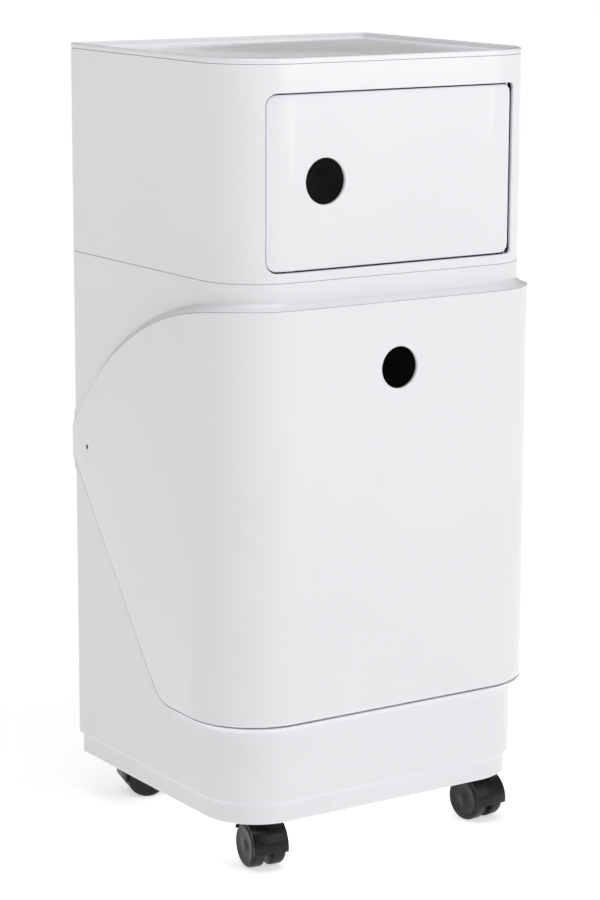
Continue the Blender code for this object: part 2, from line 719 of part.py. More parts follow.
def bucket_outline(inset):
    return round_rectangle(
        -BUCKET_X + inset, BUCKET_X - inset, BUCKET_FRONT + inset, BUCKET_REAR - inset,
        BUCKET_CORNER - inset,
    )


def build_bin_bucket(tilt):
    bucket = slab("bin_bucket", bucket_outline(0), BUCKET_LOW, BUCKET_HIGH)
    cut(bucket, slab("bucket_hollow", bucket_outline(BUCKET_WALL), BUCKET_LOW + BUCKET_WALL, BUCKET_HIGH + 0.01))
    for side in (-1, 1):
        for level in BUCKET_BOSS_LEVELS:
            x = side * BUCKET_BOSS_X
            hole = (x, BUCKET_FRONT - 0.01, level), (x, BUCKET_FRONT + 0.01, level)
            cut(bucket, rod("bucket_hole", SCREW_RADIUS + GAP, *hole, sides=SCREW_SIDES))
    finish(bucket, BUCKET_GREY, tilt)
    head_y = BUCKET_FRONT + BUCKET_WALL + GAP
    for side, hand in ((-1, "left"), (1, "right")):
        for level, height in zip(BUCKET_BOSS_LEVELS, ("lower", "upper")):
            x = side * BUCKET_BOSS_X
            fastener = screw(f"bucket_screw_{height}_{hand}", (x, head_y - 0.0125, level), (x, head_y, level))
            finish(fastener, STEEL, tilt)
    return bucket


def build_bin_hinge(tilt):
    """Brackets fixed inside the plinth, their screws, and the pins that the bin's lugs turn on."""
    inside = FRONT_PLANE + WALL + GAP
    flange_back = inside + 0.0025
    for side, hand in ((-1, "left"), (1, "right")):
        left, right = sorted((side * BRACKET_X, side * (BRACKET_X + BRACKET_WIDTH)))
        middle = (left + right) / 2
        bracket = rod(
            f"bin_hinge_bracket_{hand}", KNUCKLE_RADIUS, (left, PIVOT_Y, PIVOT_Z), (right, PIVOT_Y, PIVOT_Z)
        )
        arm = box(
            "bracket_arm", (left, PIVOT_Y, PIVOT_Z - KNUCKLE_RADIUS), (right, flange_back + 0.004, PIVOT_Z + KNUCKLE_RADIUS)
        )
        rib = box(
            "bracket_rib", (left, inside, BRACKET_FOOT_LOW), (right, flange_back + 0.004, PIVOT_Z)
        )
        foot = box(
            "bracket_foot",
            (middle - BRACKET_FOOT_HALF, inside, BRACKET_FOOT_LOW),
            (middle + BRACKET_FOOT_HALF, flange_back, BRACKET_FOOT_HIGH),
        )
        join(bracket, arm, rib, foot)
        for number, x in enumerate(bracket_screw_places(side), 1):
            hole = (x, inside - 0.01, BRACKET_SCREW_Z), (x, inside + 0.01, BRACKET_SCREW_Z)
            cut(bracket, rod("bracket_foot_hole", SCREW_RADIUS + GAP, *hole, sides=SCREW_SIDES))
            tip = (x, FRONT_PLANE + SCREW_COVER + GAP, BRACKET_SCREW_Z)
            fastener = screw(f"bracket_screw_{hand}_{number}", tip, (x, flange_back + GAP, BRACKET_SCREW_Z))
            finish(fastener, STEEL)
        bore = (left - 0.001, PIVOT_Y, PIVOT_Z), (right + 0.001, PIVOT_Y, PIVOT_Z)
        cut(bracket, rod("bracket_bore", BIN_PIN_RADIUS + GAP, *bore, sides=BORE_SIDES))
        finish(bracket, PIN_DARK)
        ends = sorted((side * (LUG_X - 0.002), side * (BRACKET_X + BRACKET_WIDTH + 0.002)))
        pin = rod(
            f"bin_hinge_pin_{hand}", BIN_PIN_RADIUS, (ends[0], PIVOT_Y, PIVOT_Z), (ends[1], PIVOT_Y, PIVOT_Z), 16
        )
        finish(pin, STEEL)
    return tilt


def build_stop_pins(tilt):
    """Headed pins held in the bin's wings, which run in the curved slots of the case's sides."""
    inner_face = WIDTH / 2 - WALL
    for side, hand in ((-1, "left"), (1, "right")):
        base_x = inner_face - 0.003
        profile = [
            (0, STOP_PIN_END - base_x),
            (STOP_PIN_RADIUS, STOP_PIN_END - base_x),
            (STOP_PIN_RADIUS, 0.0025),
            (0.0055, 0.0025),
            (0.0055, 0),
            (0, 0),
        ]
        turn = Vector((0, 0, 1)).rotation_difference(Vector((side, 0, 0))).to_matrix().to_4x4()
        place = Matrix.Translation((side * base_x, STOP_PIN_Y, STOP_PIN_Z)) @ turn
        finish(turned(f"bin_stop_pin_{hand}", profile, place, 16), PIN_DARK, tilt)


# ================================================================ base and casters
def caster_places():
    for name, angle in CASTER_TURNS.items():
        x, y = (FRONT_CASTER_X, FRONT_CASTER_Y) if name.startswith("front") else (REAR_CASTER_X, REAR_CASTER_Y)
        yield name, x if name.endswith("right") else -x, y, radians(angle)


def build_base_tray():
    base = plan_slab("base_tray", -BASE_INSET, BASE_LOW, PLINTH_LOW + 0.001)
    join(base, plan_slab("base_flange", -WALL - GAP, PLINTH_LOW, PLINTH_LOW + WALL - GAP))
    inner = -BASE_INSET - BASE_WALL
    cut(
        base,
        plan_slab("base_underside", inner, BASE_LOW - 0.01, BASE_PLATE_LOW),
        plan_slab("base_hollow", inner, BASE_PLATE_HIGH, PLINTH_LOW + 0.01),
    )
    for index, (x, y) in enumerate(BASE_SCREWS):
        post = (x, y, BASE_PLATE_HIGH - 0.001), (x, y, PLINTH_LOW + WALL - GAP)
        join(base, rod(f"base_post_{index}", BASE_POST_RADIUS, *post, sides=BORE_SIDES))
        hole = (x, y, BASE_LOW), (x, y, PLINTH_LOW + 0.01)
        cut(base, rod(f"base_hole_{index}", SCREW_RADIUS + GAP, *hole, sides=SCREW_SIDES))
    for name, x, y, _ in caster_places():
        hole = (x, y, BASE_LOW), (x, y, PLINTH_LOW)
        cut(base, rod(f"socket_hole_{name}", SOCKET_RADIUS + GAP, *hole))
    finish(base, GLOSS_WHITE)
    for index, (x, y) in enumerate(BASE_SCREWS):
        head = (x, y, BASE_PLATE_LOW - GAP)
        finish(screw(f"base_screw_{index + 1}", (x, y, PLINTH_LOW + 2 * WALL - GAP), head), STEEL)
    return base


def build_socket(name, x, y):
    profile = [
        (STEM_RADIUS + GAP, SOCKET_LOW),
        (STEM_RADIUS + GAP, SOCKET_HIGH - 0.002),
        (0, SOCKET_HIGH - 0.002),
    ]
    outer = [
        (0, SOCKET_HIGH),
        (SOCKET_RADIUS, SOCKET_HIGH),
        (SOCKET_RADIUS, BASE_PLATE_LOW - GAP),
        (SOCKET_COLLAR, BASE_PLATE_LOW - GAP),
        (SOCKET_COLLAR, SOCKET_LOW),
    ]
    place = Matrix.Translation((x, y, 0))
    return finish(turned(f"caster_{name}_socket", outer + profile, place), CASTER_BLACK)


def wheel_profile():
    """A wheel's section from the middle of its outer face round to its blind axle bore."""
    bore = AXLE_RADIUS + GAP
    bore_top = WHEEL_WIDTH - 0.0042
    edge = WHEEL_EDGE
    rounding = [
        (WHEEL_RADIUS - edge + edge * sin(angle), WHEEL_WIDTH - edge + edge * cos(angle))
        for angle in (0, pi / 4, pi / 2)
    ]
    return [
        (0, WHEEL_WIDTH),
        *rounding,
        (WHEEL_RADIUS, 0.001),
        (WHEEL_RADIUS - 0.001, 0),
        (bore, 0),
        (bore, bore_top),
        (0, bore_top),
    ]


def build_hood(name, swivel, frame):
    """The caster's body: a web between the wheels, a fender round their front and the stem's boss."""
    half = WEB_HALF + WHEEL_SIDE_GAP + WHEEL_WIDTH
    outer_disc = rod(f"caster_{name}_hood", HOOD_OUTER, (-half, 0, 0), (half, 0, 0), HOOD_SIDES)
    wheel_space_left = rod("wheel_space_left", HOOD_INNER, (-half - 0.01, 0, 0), (-WEB_HALF, 0, 0), HOOD_SIDES)
    wheel_space_right = rod("wheel_space_right", HOOD_INNER, (WEB_HALF, 0, 0), (half + 0.01, 0, 0), HOOD_SIDES)
    below = box("hood_below", (-0.05, -0.05, -0.05), (0.05, 0.05, HOOD_LOW - WHEEL_RADIUS))
    behind = box("hood_behind", (-0.05, HOOD_REAR, -0.04), (0.05, 0.06, 0.04))
    boss_low = (0, TRAIL, 0.0145)
    boss_high = (0, TRAIL, BOSS_HIGH - WHEEL_RADIUS)
    pocket = (0, TRAIL, STEM_LOW - WHEEL_RADIUS - GAP), (0, TRAIL, 0.05)
    boss = rod("stem_boss", BOSS_RADIUS, boss_low, boss_high)
    shaft_space = rod("axle_space", AXLE_RADIUS + GAP, (-0.02, 0, 0), (0.02, 0, 0), 16)
    stem_space = rod("stem_space", STEM_RADIUS + GAP, *pocket, sides=BORE_SIDES)
    hood = cut(outer_disc, below, behind)
    join(hood, boss)
    cut(hood, wheel_space_left, wheel_space_right, shaft_space, stem_space)
    for piece in (hood, wheel_space_left, wheel_space_right, below, behind, boss, shaft_space, stem_space):
        piece.data.transform(frame)
    return finish(hood, CASTER_BLACK, swivel)


def build_caster(name, x, y, turn):
    """One twin-wheel caster; in its own frame the wheels run along X and trail from +Y."""
    swivel = joint_empty(f"caster_{name}_swivel", Matrix.Translation((x, y, WHEEL_RADIUS)))
    frame = Matrix.Translation((x, y, WHEEL_RADIUS)) @ Matrix.Rotation(turn, 4, "Z")
    frame = frame @ Matrix.Translation((0, -TRAIL, 0))
    build_socket(name, x, y)
    build_hood(name, swivel, frame)
    stem = rod(f"caster_{name}_stem", STEM_RADIUS, (x, y, STEM_LOW), (x, y, STEM_HIGH), 16)
    finish(stem, STEEL, swivel)
    axle = rod(f"caster_{name}_axle", AXLE_RADIUS, frame @ Vector((-AXLE_HALF, 0, 0)), frame @ Vector((AXLE_HALF, 0, 0)), 16)
    finish(axle, STEEL, swivel)
    for side, hand in ((-1, "left"), (1, "right")):
        inner = WEB_HALF + WHEEL_SIDE_GAP
        face = Matrix.Rotation(side * pi / 2, 4, "Y")
        place = frame @ Matrix.Translation((side * inner, 0, 0)) @ face
        spin = joint_empty(f"caster_{name}_spin_{hand}", place, swivel)
        wheel = turned(f"caster_{name}_wheel_{hand}", wheel_profile(), place, WHEEL_STEPS)
        finish(wheel, TREAD_BLACK)
        wheel.parent = spin
        wheel.matrix_parent_inverse = place.inverted()


# ================================================================ assembly
def build_cabinet():
    door_hinge = joint_empty("door_hinge", Matrix.Translation((HINGE_X, HINGE_Y, 0.708)))
    bin_axis = Matrix.Translation((0, PIVOT_Y, PIVOT_Z)) @ Matrix.Rotation(pi / 2, 4, "Y")
    bin_tilt = joint_empty("bin_tilt", bin_axis)
    build_top_tray()
    build_upper_case()
    build_door(door_hinge)
    build_door_hinge(door_hinge)
    build_door_stops()
    build_lower_case()
    build_bin_front(bin_tilt)
    build_bin_bucket(bin_tilt)
    build_bin_hinge(bin_tilt)
    build_stop_pins(bin_tilt)
    build_base_tray()
    for name, x, y, turn in caster_places():
        build_caster(name, x, y, turn)


build_cabinet()
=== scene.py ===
"""Looks of the wheeled storage cabinet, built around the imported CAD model.

Every visible moulding is rebuilt as a finely lofted mesh in the place of its CAD node, with
rounded edges, and each small fixing keeps its CAD mesh.  All materials are procedural.
Metres, +Z up, floor at Z = 0, the front faces -Y.
"""

import json
from math import atan2, cos, pi, radians, sin, sqrt

import bmesh
import bpy
from mathutils import Matrix, Vector


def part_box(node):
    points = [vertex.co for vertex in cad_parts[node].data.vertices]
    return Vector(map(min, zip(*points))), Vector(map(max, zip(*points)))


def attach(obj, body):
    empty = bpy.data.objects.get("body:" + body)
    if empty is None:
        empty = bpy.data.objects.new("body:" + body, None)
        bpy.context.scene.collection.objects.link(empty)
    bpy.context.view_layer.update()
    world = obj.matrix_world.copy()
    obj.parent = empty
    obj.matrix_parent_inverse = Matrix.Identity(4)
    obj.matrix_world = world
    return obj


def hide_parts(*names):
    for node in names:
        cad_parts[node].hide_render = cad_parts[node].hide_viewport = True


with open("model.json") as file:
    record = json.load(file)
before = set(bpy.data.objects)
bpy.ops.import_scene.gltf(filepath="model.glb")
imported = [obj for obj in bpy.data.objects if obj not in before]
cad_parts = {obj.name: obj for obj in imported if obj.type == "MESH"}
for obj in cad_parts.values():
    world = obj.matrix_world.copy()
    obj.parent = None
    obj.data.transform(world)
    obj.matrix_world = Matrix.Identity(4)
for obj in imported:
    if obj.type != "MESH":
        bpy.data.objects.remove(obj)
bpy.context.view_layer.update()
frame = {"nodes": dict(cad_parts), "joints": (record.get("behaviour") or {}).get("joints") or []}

# ---------------------------------------------------------------- levels read from the frame
CASE_LOW, CASE_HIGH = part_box("upper_case")
LOWER_LOW, LOWER_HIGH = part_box("lower_case")
TRAY_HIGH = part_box("top_tray")[1]
BASE_BOX_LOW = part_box("base_tray")[0]
BIN_LOW, BIN_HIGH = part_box("bin_front")
BUCKET_BOX_LOW, BUCKET_BOX_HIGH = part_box("bin_bucket")
JOINTS = {joint["name"]: joint for joint in frame["joints"]}

WIDTH = CASE_HIGH.x - CASE_LOW.x
FRONT_PLANE = CASE_LOW.y
REAR_PLANE = CASE_HIGH.y
HEIGHT = TRAY_HIGH.z
LID_SEAM = CASE_HIGH.z
MODULE_SEAM = LOWER_HIGH.z
PLINTH_LOW = LOWER_LOW.z
BASE_LOW = BASE_BOX_LOW.z
BULGE = FRONT_PLANE - BIN_LOW.y
PIVOT_Y, PIVOT_Z = JOINTS["bin_tilt"]["pos_m"][1:]
SECTOR_RADIUS = BIN_HIGH.z - PIVOT_Z
SECTOR_REAR_Y = BIN_HIGH.y
BULGE_LOW = BIN_LOW.z

# ---------------------------------------------------------------- sizes shared with the CAD
FRONT_RADIUS = 0.066
REAR_RADIUS = 0.010
WALL = 0.0035
GAP = 0.0003
BASE_INSET = 0.0045
SKIRT_LOW = PLINTH_LOW - 0.005
TRAY_RIM = 0.006
TRAY_DEPTH = 0.0055
TRAY_FLOOR = 0.0025
SKIRT_DROP = 0.0075
SKIRT_WALL = 0.003
SPIGOT_DROP = 0.008
DOOR_OPENING_X = 0.151
DOOR_OPENING_LOW = 0.620
DOOR_OPENING_HIGH = 0.7965
DOOR_CORNER = 0.012
DOOR_HINGE_CORNER = 0.005
DOOR_EDGE_GAP = 0.0015
DOOR_HINGE_GAP = 0.003
DOOR_RECESS = 0.0025
DOOR_SKIN = 0.003
DOOR_FLANGE_DEPTH = 0.010
DOOR_FLANGE = 0.002
DOOR_HOLE_X = -0.0826
DOOR_HOLE_RADIUS = 0.0232
HINGE_X, HINGE_Y = JOINTS["door_hinge"]["pos_m"][:2]
HINGE_BOSS_RADIUS = 0.0034
HINGE_BOSS_SETBACK = 0.0042
HINGE_BOSS_LENGTH = 0.014
HINGE_PIN_SPACE = 0.0018
BIN_SKIN = 0.003
BIN_CLEARANCE = 0.0006
BULGE_REAR = 0.0022
BULGE_TAPER = 1.3
SECTOR_REAR_LOW = 0.391
SECTOR_FOOT_Y = FRONT_PLANE + 0.134
SECTOR_FOOT_RADIUS = 0.045
BIN_HOLE_Z = 0.516
BIN_HOLE_RADIUS = 0.0215
BIN_TILT = radians(JOINTS["bin_tilt"]["range_deg"][1])
TOE_RADIUS = 0.0036
COLLAR_TOP_GAP = 0.0003
COLLAR_LOW_GAP = 0.0010
COLLAR_REACH = 0.0100
COLLAR_POWER = 2.5
COLLAR_ROOT = 0.0015
BIN_OPENING_X = 0.172
BIN_OPENING_LOW = 0.1583
BIN_OPENING_HIGH = 0.560
BIN_OPENING_CORNER = 0.008
BUCKET_WALL = 0.0025
BUCKET_CORNER = 0.022
BUCKET_BOSS_X = 0.060
BUCKET_BOSS_LEVELS = (0.220, 0.440)
BUCKET_BOSS_RADIUS = 0.005
SCREW_SPACE = 0.0021
LUG_X = 0.0990
LUG_WIDTH = 0.0035
LUG_RISE = 0.012
NOTCH_X = (0.1026, 0.1070)
KNUCKLE_RADIUS = 0.0025
KNUCKLE_BORE = 0.00155
STOP_PIN_Y = FRONT_PLANE + 0.2936
STOP_PIN_Z = 0.402
STOP_PIN_RADIUS = 0.0025
STOP_SLOT_HALF = 0.0032
STOP_PIN_PLAY = 0.0006
BASE_WALL = 0.003
BASE_PLATE_LOW = 0.0585
BASE_PLATE_HIGH = 0.0620
BASE_SCREW_INSET = 0.034
BASE_POST_RADIUS = 0.005
SOCKET_SPACE = 0.0071
WHEEL_RADIUS = 0.0235
WHEEL_WIDTH = 0.0145
WEB_HALF = 0.0045
WHEEL_SIDE_GAP = 0.0004
HOOD_INNER = 0.0245
HOOD_OUTER = 0.0267
HOOD_LOW = 0.0195
HOOD_REAR = 0.0215
TRAIL = 0.016
BOSS_RADIUS = 0.0075
BOSS_HIGH = 0.0535
STEM_SPACE = 0.0033
STEM_SPACE_LOW = 0.0357
AXLE_SPACE = 0.0028

# ---------------------------------------------------------------- edge rounding
SEAM_EDGE = 0.0006
RIM_EDGE = 0.0017
DOOR_EDGE = 0.0011
BIN_EDGE = 0.0004
HOLE_EDGE = 0.0012
PLINTH_EDGE = 0.0012
FILLET = 0.004

# ---------------------------------------------------------------- fineness
CORNER_STEPS = 24
REAR_STEPS = 8
EDGE_STEPS = 4
ARC_STEPS = 40
FOOT_STEPS = 20
COLLAR_STEPS = 14
SLOT_STEPS = 28
LEAST_STATION_STEP = 0.0012
HOLE_SIDES = 96
ROUND_SIDES = 32
WHEEL_SIDES = 72
SHARP_ANGLE = radians(34)

ALONG_X = Matrix(((0, 0, 1, 0), (1, 0, 0, 0), (0, 1, 0, 0), (0, 0, 0, 1)))
CORNER_X = WIDTH / 2 - FRONT_RADIUS
CORNER_Y = FRONT_PLANE + FRONT_RADIUS


# ================================================================ materials
def node(tree, kind, **settings):
    """A new node, with its settings: plain names are attributes, and numbers are inputs."""
    made = tree.nodes.new(kind)
    for key, value in settings.items():
        setattr(made, key, value)
    return made


def noise(tree, coordinates, scale, detail=2.0, roughness=0.5, stretch=None):
    """A noise texture over the piece's own coordinates, which may be stretched."""
    texture = node(tree, "ShaderNodeTexNoise")
    texture.inputs["Scale"].default_value = scale
    texture.inputs["Detail"].default_value = detail
    texture.inputs["Roughness"].default_value = roughness
    source = coordinates
    if stretch:
        mapping = node(tree, "ShaderNodeMapping")
        mapping.inputs["Scale"].default_value = stretch
        tree.links.new(coordinates, mapping.inputs["Vector"])
        source = mapping.outputs["Vector"]
    tree.links.new(source, texture.inputs["Vector"])
    return texture.outputs["Fac"]


def map_range(tree, value, low, high, to_low, to_high):
    mapped = node(tree, "ShaderNodeMapRange")
    for name, number in (("From Min", low), ("From Max", high), ("To Min", to_low), ("To Max", to_high)):
        mapped.inputs[name].default_value = number
    tree.links.new(value, mapped.inputs["Value"])
    return mapped.outputs["Result"]


def mix_colour(tree, factor, first, second):
    mixed = node(tree, "ShaderNodeMix", data_type="RGBA")
    tree.links.new(factor, mixed.inputs[0])
    for socket, colour in ((mixed.inputs[6], first), (mixed.inputs[7], second)):
        if isinstance(colour, tuple):
            socket.default_value = (*colour, 1.0)
        else:
            tree.links.new(colour, socket)
    return mixed.outputs[2]


def multiply(tree, first, second):
    product = node(tree, "ShaderNodeMath", operation="MULTIPLY")
    tree.links.new(first, product.inputs[0])
    tree.links.new(second, product.inputs[1])
    return product.outputs[0]


def bump(tree, height, distance, strength, normal=None):
    bumped = node(tree, "ShaderNodeBump")
    bumped.inputs["Distance"].default_value = distance
    bumped.inputs["Strength"].default_value = strength
    tree.links.new(height, bumped.inputs["Height"])
    if normal:
        tree.links.new(normal, bumped.inputs["Normal"])
    return bumped.outputs["Normal"]


def dust_mask(tree, coordinates, low, high):
    """1 near the floor, fading to 0 at the height high, broken up by noise."""
    parts = node(tree, "ShaderNodeSeparateXYZ")
    tree.links.new(coordinates, parts.inputs[0])
    level = map_range(tree, parts.outputs["Z"], low, high, 1.0, 0.0)
    patches = map_range(tree, noise(tree, coordinates, 55, 5, 0.65), 0.42, 0.68, 0.0, 1.0)
    return multiply(tree, level, patches)


def moulded(name, colour, tint, roughness, spread, peel=0.00002, dust=0.0, scuff=0.06, **shader_values):
    """Moulded plastic: faint clouding, patchy gloss, fine orange peel, hairline scuffs and dust low down."""
    material = bpy.data.materials.new(name)
    material.use_nodes = True
    tree = material.node_tree
    shader = tree.nodes["Principled BSDF"]
    for key, value in shader_values.items():
        shader.inputs[key.replace("_", " ")].default_value = value
    coordinates = node(tree, "ShaderNodeTexCoord").outputs["Object"]
    clouds = map_range(tree, noise(tree, coordinates, 7, 3), 0.35, 0.65, 0.0, 1.0)
    base = mix_colour(tree, clouds, colour, tint)
    specks = map_range(tree, noise(tree, coordinates, 1400, 1), 0.70, 0.76, 0.0, 0.10)
    base = mix_colour(tree, specks, base, tuple(value * 0.72 for value in colour))
    gloss = map_range(tree, noise(tree, coordinates, 38, 4, 0.6), 0.3, 0.7, roughness, roughness + spread)
    hairs = noise(tree, coordinates, 260, 2, 0.5, stretch=(1.0, 0.22, 0.05))
    hairs = map_range(tree, hairs, 0.66, 0.74, 0.0, scuff)
    worn = node(tree, "ShaderNodeMath", operation="ADD", use_clamp=True)
    tree.links.new(gloss, worn.inputs[0])
    tree.links.new(hairs, worn.inputs[1])
    rough = worn.outputs[0]
    if dust:
        mask = dust_mask(tree, coordinates, 0.0, 0.13)
        softened = map_range(tree, mask, 0.0, 1.0, 0.0, dust)
        base = mix_colour(tree, softened, base, (0.36, 0.34, 0.31))
        dulled = node(tree, "ShaderNodeMath", operation="ADD", use_clamp=True)
        tree.links.new(rough, dulled.inputs[0])
        tree.links.new(map_range(tree, mask, 0.0, 1.0, 0.0, 0.25), dulled.inputs[1])
        rough = dulled.outputs[0]
    tree.links.new(base, shader.inputs["Base Color"])
    tree.links.new(rough, shader.inputs["Roughness"])
    fine = bump(tree, noise(tree, coordinates, 520, 2), peel, 0.35)
    broad = bump(tree, noise(tree, coordinates, 26, 2), 0.00016, 0.20, fine)
    tree.links.new(broad, shader.inputs["Normal"])
    return material


def plated(name):
    """Zinc plate: a cool metal with fine turning marks, cloudy gloss and dull spots."""
    material = bpy.data.materials.new(name)
    material.use_nodes = True
    tree = material.node_tree
    shader = tree.nodes["Principled BSDF"]
    shader.inputs["Metallic"].default_value = 1.0
    coordinates = node(tree, "ShaderNodeTexCoord").outputs["Object"]
    clouds = map_range(tree, noise(tree, coordinates, 240, 4), 0.35, 0.65, 0.0, 1.0)
    base = mix_colour(tree, clouds, (0.62, 0.62, 0.61), (0.50, 0.51, 0.52))
    tree.links.new(base, shader.inputs["Base Color"])
    rough = map_range(tree, noise(tree, coordinates, 700, 3), 0.3, 0.7, 0.22, 0.42)
    tree.links.new(rough, shader.inputs["Roughness"])
    marks = noise(tree, coordinates, 900, 2, 0.5, stretch=(1.0, 1.0, 6.0))
    tree.links.new(bump(tree, marks, 0.00002, 0.5), shader.inputs["Normal"])
    return material


WHITE = moulded(
    "white_moulded_gloss", (0.842, 0.840, 0.864), (0.830, 0.828, 0.853), 0.12, 0.05, dust=0.03, scuff=0.02,
    Specular_IOR_Level=0.5, Coat_Weight=0.25, Coat_Roughness=0.06, IOR=1.5,
)
GREY = moulded(
    "light_grey_moulded_satin", (0.56, 0.56, 0.57), (0.53, 0.53, 0.545), 0.34, 0.10, peel=0.00004, IOR=1.5,
)
BLACK = moulded(
    "black_moulded_gloss", (0.0055, 0.0057, 0.0066), (0.0072, 0.0073, 0.0080), 0.19, 0.06,
    dust=0.015, scuff=0.05, IOR=1.45, Specular_IOR_Level=0.32,
)
TREAD = moulded(
    "black_wheel_plastic", (0.0068, 0.0069, 0.0078), (0.0090, 0.0091, 0.0098), 0.24, 0.08,
    peel=0.00003, dust=0.03, scuff=0.06, IOR=1.45, Specular_IOR_Level=0.32,
)
DARK = moulded(
    "dark_nylon_satin", (0.030, 0.030, 0.032), (0.040, 0.040, 0.042), 0.36, 0.12, peel=0.00004, IOR=1.5,
)
ZINC = plated("zinc_plate")


# ================================================================ outlines
def corner(centre_x, centre_y, radius, start, steps):
    """Points of a quarter arc that begins at the angle start and runs anticlockwise."""
    angles = [start + pi / 2 * step / steps for step in range(steps + 1)]
    return [(centre_x + radius * cos(angle), centre_y + radius * sin(angle)) for angle in angles]


def plan_outline(offset):
    """The cabinet's plan, moved outward by offset, with large front and small rear corners."""
    half_x = WIDTH / 2 + offset
    rear_y = REAR_PLANE + offset
    front = FRONT_RADIUS + offset
    rear = max(REAR_RADIUS + offset, 0.002)
    points = corner(half_x - rear, rear_y - rear, rear, 0, REAR_STEPS)
    points += corner(-half_x + rear, rear_y - rear, rear, pi / 2, REAR_STEPS)
    points += corner(-CORNER_X, CORNER_Y, front, pi, CORNER_STEPS)
    points += corner(CORNER_X, CORNER_Y, front, 1.5 * pi, CORNER_STEPS)
    return points


def plan_front_y(x, offset):
    """The plan's front edge at x, moved outward by offset."""
    radius = FRONT_RADIUS + offset
    beyond = abs(x) - CORNER_X
    if beyond <= 0:
        return FRONT_PLANE - offset
    return CORNER_Y - sqrt(max(radius ** 2 - beyond ** 2, 0.0))


def round_rectangle(left, right, low, high, radius, steps=8):
    """Points round a rectangle with four equal round corners, anticlockwise from its upper right."""
    points = corner(right - radius, high - radius, radius, 0, steps)
    points += corner(left + radius, high - radius, radius, pi / 2, steps)
    points += corner(left + radius, low + radius, radius, pi, steps)
    points += corner(right - radius, low + radius, radius, 1.5 * pi, steps)
    return points


def door_outline(left, right, low, high, radius, right_radius=None):
    """A round rectangle with extra points on its top and bottom, where they wrap the front corners."""
    other = radius if right_radius is None else right_radius
    inner_left, inner_right = left + radius, right - other
    stops = [0.0, 0.035, 0.07, 0.105, 0.14, 0.86, 0.895, 0.93, 0.965, 1.0]
    across = [inner_left + (inner_right - inner_left) * stop for stop in stops[1:-1]]
    points = corner(inner_right, high - other, other, 0, 8)
    points += [(x, high) for x in reversed(across)]
    points += corner(inner_left, high - radius, radius, pi / 2, 8)
    points += corner(inner_left, low + radius, radius, pi, 8)
    points += [(x, low) for x in across]
    points += corner(inner_right, low + other, other, 1.5 * pi, 8)
    return points


def edge_arc(first, second, middle, steps=EDGE_STEPS):
    """Points of a quarter ellipse from first to second, bulging away from middle."""
    first, second, middle = Vector(first), Vector(second), Vector(middle)
    angles = [pi / 2 * step / steps for step in range(steps + 1)]
    return [tuple(middle + (first - middle) * cos(angle) + (second - middle) * sin(angle)) for angle in angles]


# ================================================================ meshes
def new_piece(name, mesh, material):
    mesh.materials.clear()
    mesh.materials.append(material)
    piece = bpy.data.objects.new(name, mesh)
    bpy.context.scene.collection.objects.link(piece)
    return piece


def mesh_from(name, loft):
    bmesh.ops.remove_doubles(loft, verts=loft.verts, dist=1e-7)
    bmesh.ops.recalc_face_normals(loft, faces=loft.faces)
    mesh = bpy.data.meshes.new(name)
    loft.to_mesh(mesh)
    loft.free()
    return mesh


def ring_loft(name, rings):
    """A closed body from rings of points, each joined to the next, with the first and last capped."""
    loft = bmesh.new()
    rows = [[loft.verts.new(point) for point in ring] for ring in rings]
    for first, second in zip(rows, rows[1:]):
        for index in range(len(first)):
            after = (index + 1) % len(first)
            loft.faces.new((first[index], first[after], second[after], second[index]))
    loft.faces.new(rows[0])
    loft.faces.new(rows[-1])
    return mesh_from(name, loft)


def stack(name, outline, profile):
    """A ring loft whose rings are outline(offset) at each height of a profile of offset and height."""
    return ring_loft(name, [[(x, y, z) for x, y in outline(offset)] for offset, z in profile])


def prism(name, outline, low, high, turn):
    """A closed outline extruded from low to high along its own normal, then turned."""
    mesh = ring_loft(name, [[(a, b, z) for a, b in outline] for z in (low, high)])
    mesh.transform(turn)
    return mesh


def side_prism(name, outline, left, right):
    return prism(name, outline, left, right, ALONG_X)


def turned(name, profile, place, sides=ROUND_SIDES):
    """A profile of radius and height turned about Z, then placed; it starts and ends on the axis."""
    rings = []
    for radius, height in profile[1:-1]:
        turns = [2 * pi * step / sides for step in range(sides)]
        rings.append([(radius * cos(turn), radius * sin(turn), height) for turn in turns])
    mesh = ring_loft(name, rings)
    mesh.transform(place)
    return mesh


def rod(name, radius, start, end, sides=ROUND_SIDES, flares=(0.0, 0.0)):
    """A cylinder between two points, whose ends may flare out to cut a rounded rim."""
    start, end = Vector(start), Vector(end)
    run = end - start
    turn = Vector((0, 0, 1)).rotation_difference(run).to_matrix().to_4x4()
    profile = [(0, 0), (radius + flares[0], 0), (radius + flares[1], run.length), (0, run.length)]
    return turned(name, profile, Matrix.Translation(start) @ turn, sides)


def block(name, low, high):
    (left, front, bottom), (right, back, top) = low, high
    outline = [(left, front), (right, front), (right, back), (left, back)]
    return ring_loft(name, [[(x, y, z) for x, y in outline] for z in (bottom, top)])


